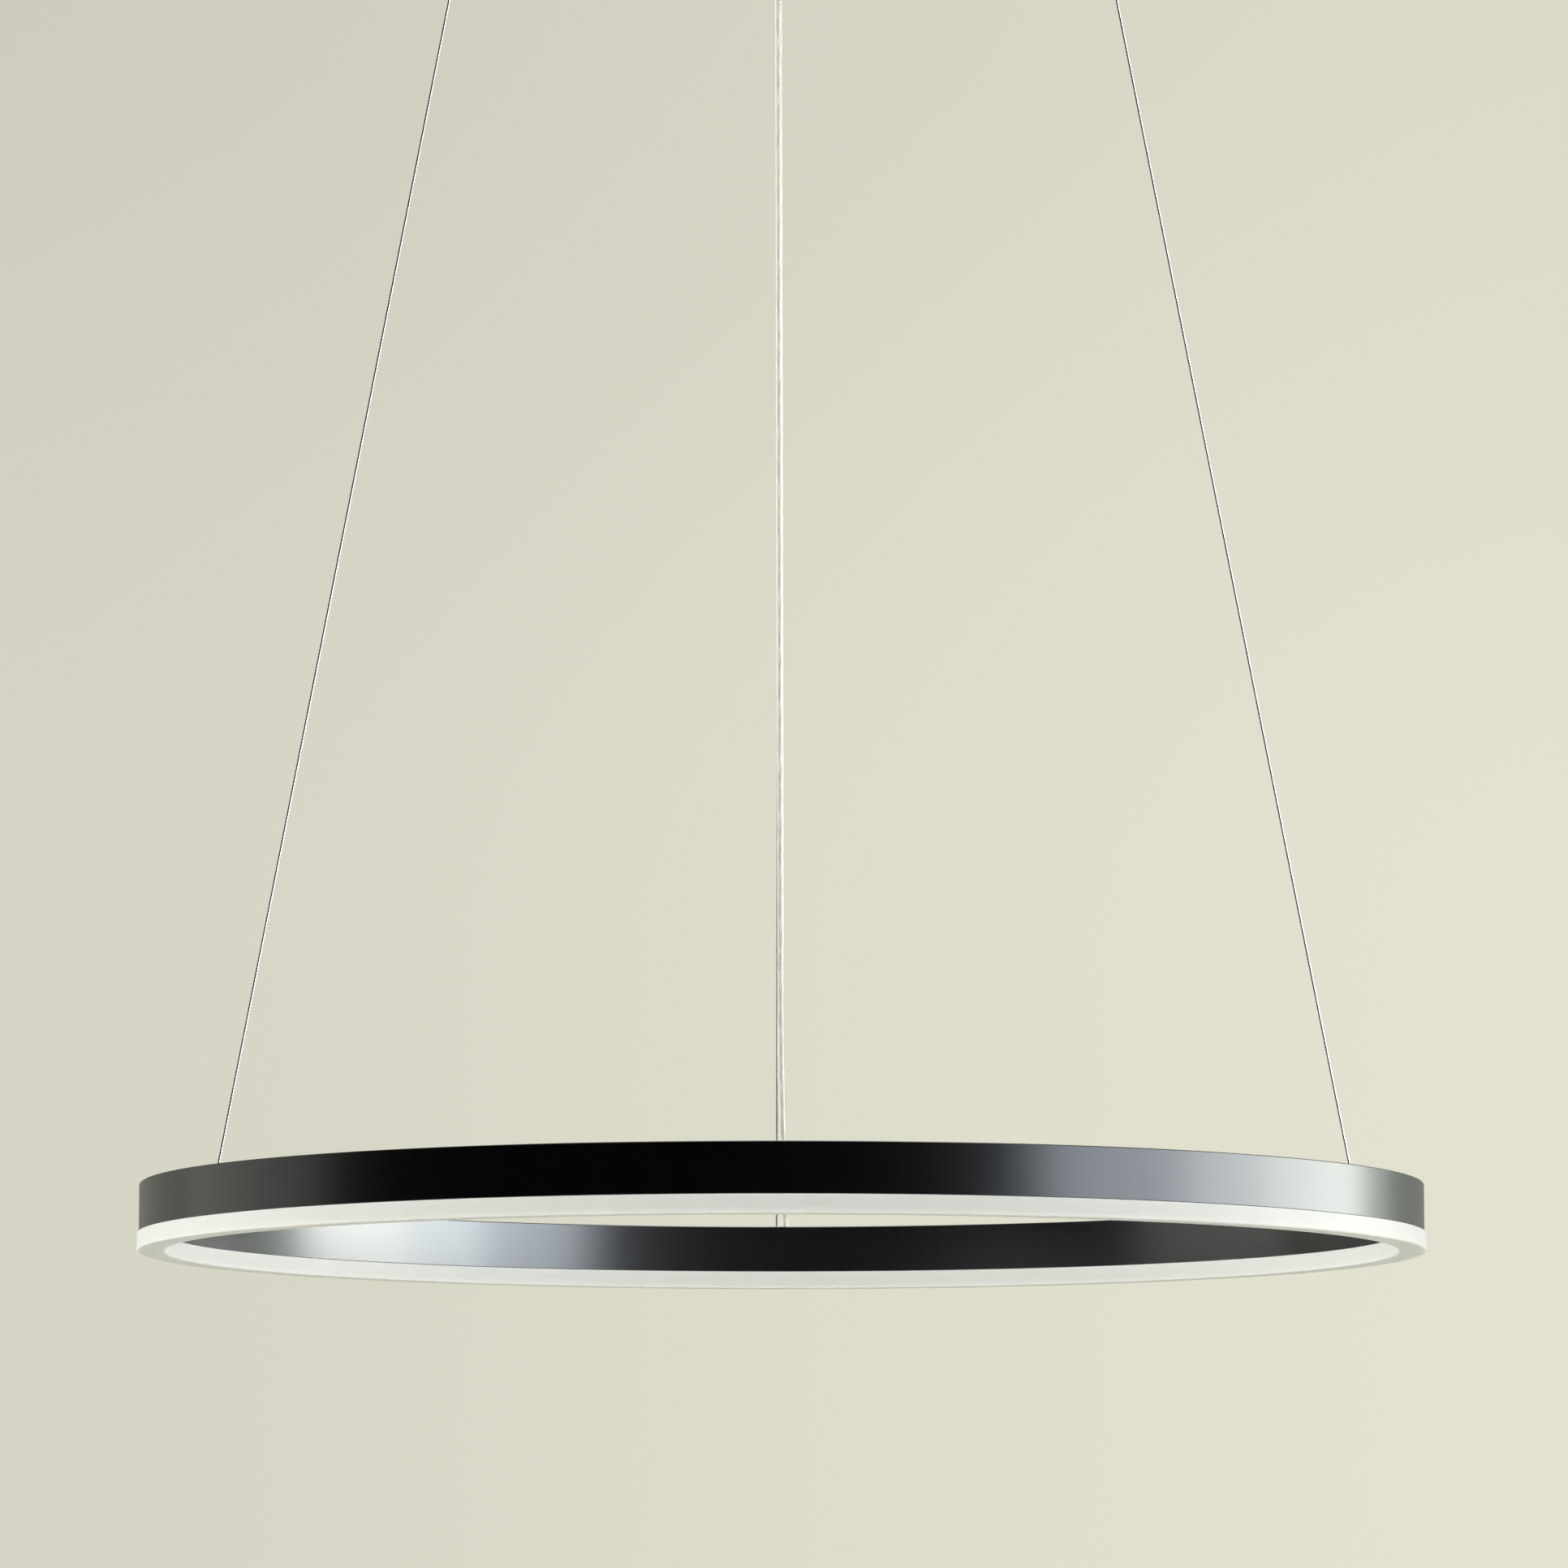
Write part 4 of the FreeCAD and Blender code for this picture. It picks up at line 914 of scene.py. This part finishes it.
# Two steel side screws with straight knurled heads, coated as the canopy is, hold it on the bracket's
# ears.
knurl_count = 36
knurl_depth = 0.00022
side_head_length = 0.005
side_shank_length = 0.011
side_shank_radius = 0.002
side_thread_pitch = 0.0007
low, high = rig.box("canopy_side_screws")
knob_radius = (high.z - low.z) / 2
knurl_start, knurl_end = 0.0008, side_head_length - 0.0008


def knurl(turn, height):
    """The ridges along a knob's rim, between its two plain ends."""
    if not knurl_start <= height <= knurl_end:
        return 0.0
    return -knurl_depth * (0.5 + 0.5 * math.cos(knurl_count * turn))


side_screws = []
for side in (-1, 1):
    knob = turned("knob", [(0.0, 0.0006), (knob_radius * 0.44, 0.0006), (knob_radius * 0.5, 0.0001),
                           (knob_radius - 0.0009, 0.0), (knob_radius - 0.0003, 0.0005),
                           (knob_radius, knurl_start), (knob_radius, knurl_end),
                           (knob_radius - 0.0004, side_head_length - 0.0003),
                           (knob_radius - 0.0008, side_head_length), (0.0, side_head_length)],
                  4 * knurl_count, knurl)
    shank = threaded("shank", side_shank_radius, side_head_length, side_shank_length, side_thread_pitch)
    place = Matrix.Translation((side * high.x, 0.0, (low.z + high.z) / 2))
    inward = Matrix.Rotation(-side * math.pi / 2, 4, "Y")
    side_screws.append(moved(joined("side_screw", [knob, shank]), place @ inward))
side_screws = wear(joined("side_screw_pair", side_screws),
                   powder_coated("side_screw_coat", (0.009, 0.009, 0.0095)))
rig.slot(side_screws, "black_canopy")
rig.ride(side_screws, "canopy")
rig.replaces(side_screws, "canopy_side_screws")


# Three nickel plated bushes stand in the canopy's floor, each drawn up by a hexagon nut. A gripper's ball
# sits in each.
def turned_nickel(name, lean=(0.0, 0.0, 0.0)):
    """Bright nickel over a turned surface, with the tool's fine rings round the axis."""
    material, surface = shader(name, (0.70, 0.685, 0.65), 0.14, 1.0)
    rings = grain(material, 2600, (0.02, 0.02, 1.0), lean, 2.0)
    tint(material, grain(material, 180), (0.64, 0.625, 0.59), (0.73, 0.715, 0.68),
         surface.inputs["Base Color"])
    spread(material, rings, 0.09, 0.2, surface.inputs["Roughness"])
    relief(material, rings, 0.000002, surface)
    return material


wear(nodes["socket_bushes"], turned_nickel("bush_nickel"))
wear(nodes["bush_nuts"], zinc)

# The cord leaves the canopy through a moulded gland of black nylon. Its nut sits inside, and so does the
# cord's tail, which bends round to the driver's terminals.
nylon = fine_grained("black_nylon", (0.011, 0.011, 0.012), 0.42)
wear(nodes["cord_gland"], nylon)
wear(nodes["gland_nut"], nylon)
tail_route = [
    (-0.003, 0.059, -0.033),
    (-0.003, 0.059, -0.021),
    (-0.010, 0.0584, -0.0115),
    (-0.023, 0.056, -0.0085),
    (-0.042, 0.051, -0.008),
    (-0.060, 0.046, -0.008),
    (-0.070, 0.036, -0.008),
    (-0.070, 0.022, -0.008),
    (-0.060, 0.012, -0.008),
    (-0.046, 0.012, -0.008),
]
tail_length = 0.129
tail_line = evenly(spline_line(tail_route), cord_step)
cord_tail, tail_cores = flex("cord_tail", tail_line)
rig.replaces(cord_tail, "cord_tail")
for piece in (cord_tail, *tail_cores):
    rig.slot(piece, "clear_cord")
    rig.ride(piece, "canopy")
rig.cord(cord_tail, exit=tail_route[0], length=tail_length, diameter=2 * cord_radius, far_end="object",
        stiffness="medium", lay="loose", path=[tuple(point) for point in tail_line],
        with_pieces=tail_cores)

# Each gripper is turned brass, nickel plated: a ball on a stem, a barrel with an inner cone, and a nipple
# whose three steel balls a coil spring pushes down into the cone, so that they wedge on the wire.
spring_wire = 0.00045
spring_orbit = 0.00185
spring_start, spring_end = 0.0107, 0.0178
spring_turns = 6.5
spring_kept = 0.65
coil_steps = 28
wire_sides = ("left", "right", "rear")
joints = {joint["name"]: joint for joint in frame["joints"]}


def polished_steel(name, colour, roughness):
    """Bright steel, with its polish a little uneven."""
    material, surface = shader(name, colour, roughness, 1.0)
    tint(material, grain(material, 400), [0.9 * value for value in colour], colour,
         surface.inputs["Base Color"])
    spread(material, grain(material, 2200), 0.7 * roughness, 1.5 * roughness, surface.inputs["Roughness"])
    return material


def wire_frame(side):
    """The middle of a gripper's ball, and the direction up along its wire."""
    return (Vector(joints["wire_swing_" + side]["pos_m"]),
            Vector(joints["release_" + side]["axis"]).normalized())


def coil_spring(name, top, down):
    """A compression spring with closed ends, wound down from a point."""
    across = down.orthogonal().normalized()
    beside = down.cross(across)
    free = spring_end - spring_start - 3 * spring_wire
    line = []
    for k in range(round(spring_turns * coil_steps) + 1):
        turns = k / coil_steps
        opened = min(max(turns - 1, 0.0), spring_turns - 2) / (spring_turns - 2)
        closed = min(turns, 1.0) + max(turns - spring_turns + 1, 0.0)
        drop = spring_wire / 2 + free * opened + spring_wire * closed
        angle = 2 * math.pi * turns
        outward = across * math.cos(angle) + beside * math.sin(angle)
        line.append(top + down * drop + spring_orbit * outward)
    return swept(name, line, round_section(spring_wire / 2, 8))


ball_steel = polished_steel("bearing_steel", (0.66, 0.66, 0.67), 0.08)
spring_steel = polished_steel("spring_steel", (0.60, 0.60, 0.60), 0.2)
for side in wire_sides:
    ball_centre, upward = wire_frame(side)
    gripper_nickel = turned_nickel("gripper_nickel_" + side, upward.to_track_quat("Z", "Y").to_euler())
    for part in ("gripper_head_", "gripper_barrel_", "release_nipple_"):
        wear(nodes[part + side], gripper_nickel)
    wear(nodes["gripper_balls_" + side], ball_steel)
    spring_top = ball_centre - upward * spring_start
    spring = wear(coil_spring("coil_spring_" + side, spring_top, -upward), spring_steel)
    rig.slot(spring, "steel")
    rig.ride(spring, "wire_" + side)
    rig.replaces(spring, "release_spring_" + side)
    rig.squash(spring, "release_" + side, axis=tuple(upward), anchor=tuple(spring_top), keep=spring_kept)

# The three suspension wires are bright steel rope of seven strands, 1.5 mm thick. Each runs from the
# canopy through its gripper down to the ring, where a ferrule with a round bead is pressed on its end.
wire_radius = 0.00075
wire_lay = 0.0125
wire_step = 0.0012
outer_strands = 6


def bright_rope():
    """Bright drawn steel, streaked along the strands."""
    material, surface = shader("bright_steel_rope", (0.72, 0.72, 0.71), 0.3, 1.0)
    tint(material, grain(material, 2400, (1.0, 1.0, 0.12)), (0.55, 0.55, 0.54), (0.84, 0.84, 0.83),
         surface.inputs["Base Color"])
    spread(material, grain(material, 5200, (1.0, 1.0, 0.1)), 0.22, 0.42, surface.inputs["Roughness"])
    return material


def turned_steel(name, lean=(0.0, 0.0, 0.0)):
    """Turned steel, with the tool's fine rings round the axis."""
    material, surface = shader(name, (0.56, 0.56, 0.555), 0.26, 1.0)
    rings = grain(material, 2200, (0.02, 0.02, 1.0), lean, 2.0)
    tint(material, grain(material, 260), (0.5, 0.5, 0.495), (0.6, 0.6, 0.595),
         surface.inputs["Base Color"])
    spread(material, rings, 0.18, 0.34, surface.inputs["Roughness"])
    relief(material, rings, 0.000003, surface)
    return material


rope_steel = bright_rope()
for side in wire_sides:
    ball_centre, upward = wire_frame(side)
    low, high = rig.box("suspension_wire_" + side)
    end_tilt = wire_radius * math.hypot(upward.x, upward.y)
    top = ball_centre + upward * ((high.z - end_tilt - ball_centre.z) / upward.z)
    foot = ball_centre + upward * ((low.z + end_tilt - ball_centre.z) / upward.z)
    rope = swept("steel_rope_" + side, evenly([top, foot], wire_step),
                 stranded_section(wire_radius, outer_strands, wire_lay, 3))
    wear(rope, rope_steel)
    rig.slot(rope, "steel")
    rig.ride(rope, "wire_" + side)
    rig.replaces(rope, "suspension_wire_" + side)
    wear(nodes["wire_ferrule_" + side],
         turned_steel("ferrule_steel_" + side, upward.to_track_quat("Z", "Y").to_euler()))

# The wire anchors are turned steel bushes, drawn up against the underside of the ring's top web. The rear
# one is longer, because the cord goes in beside the wire.
anchor_steel = turned_steel("anchor_steel")
wear(nodes["front_wire_anchors"], anchor_steel)
wear(nodes["rear_anchor"], anchor_steel)


# The band is an extruded aluminium section, rolled to a ring and thinly coated in satin black, so that the
# die's faint lines show along it. Its inner side is glossier than its outer side.
inner_face, outer_face = 0.3855, 0.3995
inner_gloss, outer_gloss = 0.56, 0.22


def ring_reach(material):
    """How far a point of the surface is from the ring's axis, and its height."""
    tree = material.node_tree
    place = tree.nodes.new("ShaderNodeTexCoord")
    split = tree.nodes.new("ShaderNodeSeparateXYZ")
    tree.links.new(place.outputs["Object"], split.inputs["Vector"])
    level = tree.nodes.new("ShaderNodeCombineXYZ")
    tree.links.new(split.outputs["X"], level.inputs["X"])
    tree.links.new(split.outputs["Y"], level.inputs["Y"])
    reach = tree.nodes.new("ShaderNodeVectorMath")
    reach.operation = "LENGTH"
    tree.links.new(level.outputs["Vector"], reach.inputs["Vector"])
    return reach.outputs["Value"], split.outputs["Z"]


def drawn_round(material, scale, detail=4.0):
    """A noise whose features run round the ring, as a die draws them."""
    tree = material.node_tree
    drawn = tree.nodes.new("ShaderNodeCombineXYZ")
    for source, axis in zip(ring_reach(material), "XY"):
        tree.links.new(source, drawn.inputs[axis])
    noise = tree.nodes.new("ShaderNodeTexNoise")
    noise.inputs["Scale"].default_value = scale
    noise.inputs["Detail"].default_value = detail
    tree.links.new(drawn.outputs["Vector"], noise.inputs["Vector"])
    return noise.outputs["Fac"]


def satin_black():
    """A nearly black coat under a clear gloss, with the die's lines and the section's slight waves."""
    material, surface = shader("satin_black_band", (0.0012, 0.0012, 0.0015), 0.32,
                               Specular_IOR_Level=0.5, Coat_Roughness=0.24, Coat_IOR=3.0)
    trued(material, surface)
    die_lines = drawn_round(material, 900)
    tint(material, grain(material, 60), (0.0008, 0.0008, 0.001), (0.0015, 0.0015, 0.0018),
         surface.inputs["Base Color"])
    spread(material, die_lines, 0.28, 0.35, surface.inputs["Roughness"])
    relief(material, die_lines, 0.000004, surface)
    relief(material, grain(material, 11, detail=1.0), 0.0004, surface)
    tree = material.node_tree
    uneven = surface.inputs["Normal"].links[0].from_socket
    tree.links.new(uneven, surface.inputs["Coat Normal"])
    polish = tree.nodes.new("ShaderNodeMapRange")
    polish.inputs["From Min"].default_value = inner_face
    polish.inputs["From Max"].default_value = outer_face
    polish.inputs["To Min"].default_value = inner_gloss
    polish.inputs["To Max"].default_value = outer_gloss
    tree.links.new(ring_reach(material)[0], polish.inputs["Value"])
    tree.links.new(polish.outputs["Result"], surface.inputs["Coat Weight"])
    return material


wear(nodes["ring_channel"], satin_black())


# The light comes from a flexible board stuck under the channel's inner web, with 119 LED packages. A
# white connector in the chamber above joins its two leads to the cord.
def solder_mask():
    """White solder mask over the board's copper, which shows as soft unevenness."""
    material, surface = shader("strip_solder_mask", (0.83, 0.83, 0.81), 0.35)
    tint(material, grain(material, 130), (0.79, 0.79, 0.76), (0.85, 0.85, 0.83),
         surface.inputs["Base Color"])
    relief(material, grain(material, 260), 0.00002, surface)
    return material


wear(nodes["led_strip"], solder_mask())
wear(nodes["led_chips"], fine_grained("led_phosphor", (0.84, 0.72, 0.26), 0.3, 2200))
wear(nodes["ring_connector"], fine_grained("connector_plastic", (0.78, 0.78, 0.76), 0.4))
wear(nodes["strip_leads"], fine_grained("lead_insulation", (0.45, 0.03, 0.025), 0.35, 500))


# The diffuser is opal acrylic, extruded, bent to the ring and snapped in from below. Light passes into
# it, so its edges look softer than paint.
def opal_acrylic():
    """White acrylic that scatters light inside, with a satin skin drawn round the ring."""
    material, surface = shader("opal_acrylic", (0.90, 0.895, 0.875), 0.38, Subsurface_Weight=0.8,
                               Subsurface_Scale=0.006, Subsurface_Radius=(1.0, 0.98, 0.93), IOR=1.49,
                               Specular_IOR_Level=0.15)
    trued(material, surface)
    tint(material, grain(material, 35), (0.885, 0.88, 0.86), (0.91, 0.905, 0.89),
         surface.inputs["Base Color"])
    spread(material, drawn_round(material, 700, 3.0), 0.34, 0.44, surface.inputs["Roughness"])
    return material


wear(nodes["diffuser"], opal_acrylic())

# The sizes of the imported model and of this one, for comparison.
new_low, new_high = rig.bounds()
with open("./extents.json", "w") as file:
    json.dump({"cad": [list(cad_low), list(cad_high)], "scene": [list(new_low), list(new_high)]}, file)
bpy.context.scene.view_settings.view_transform = "Standard"
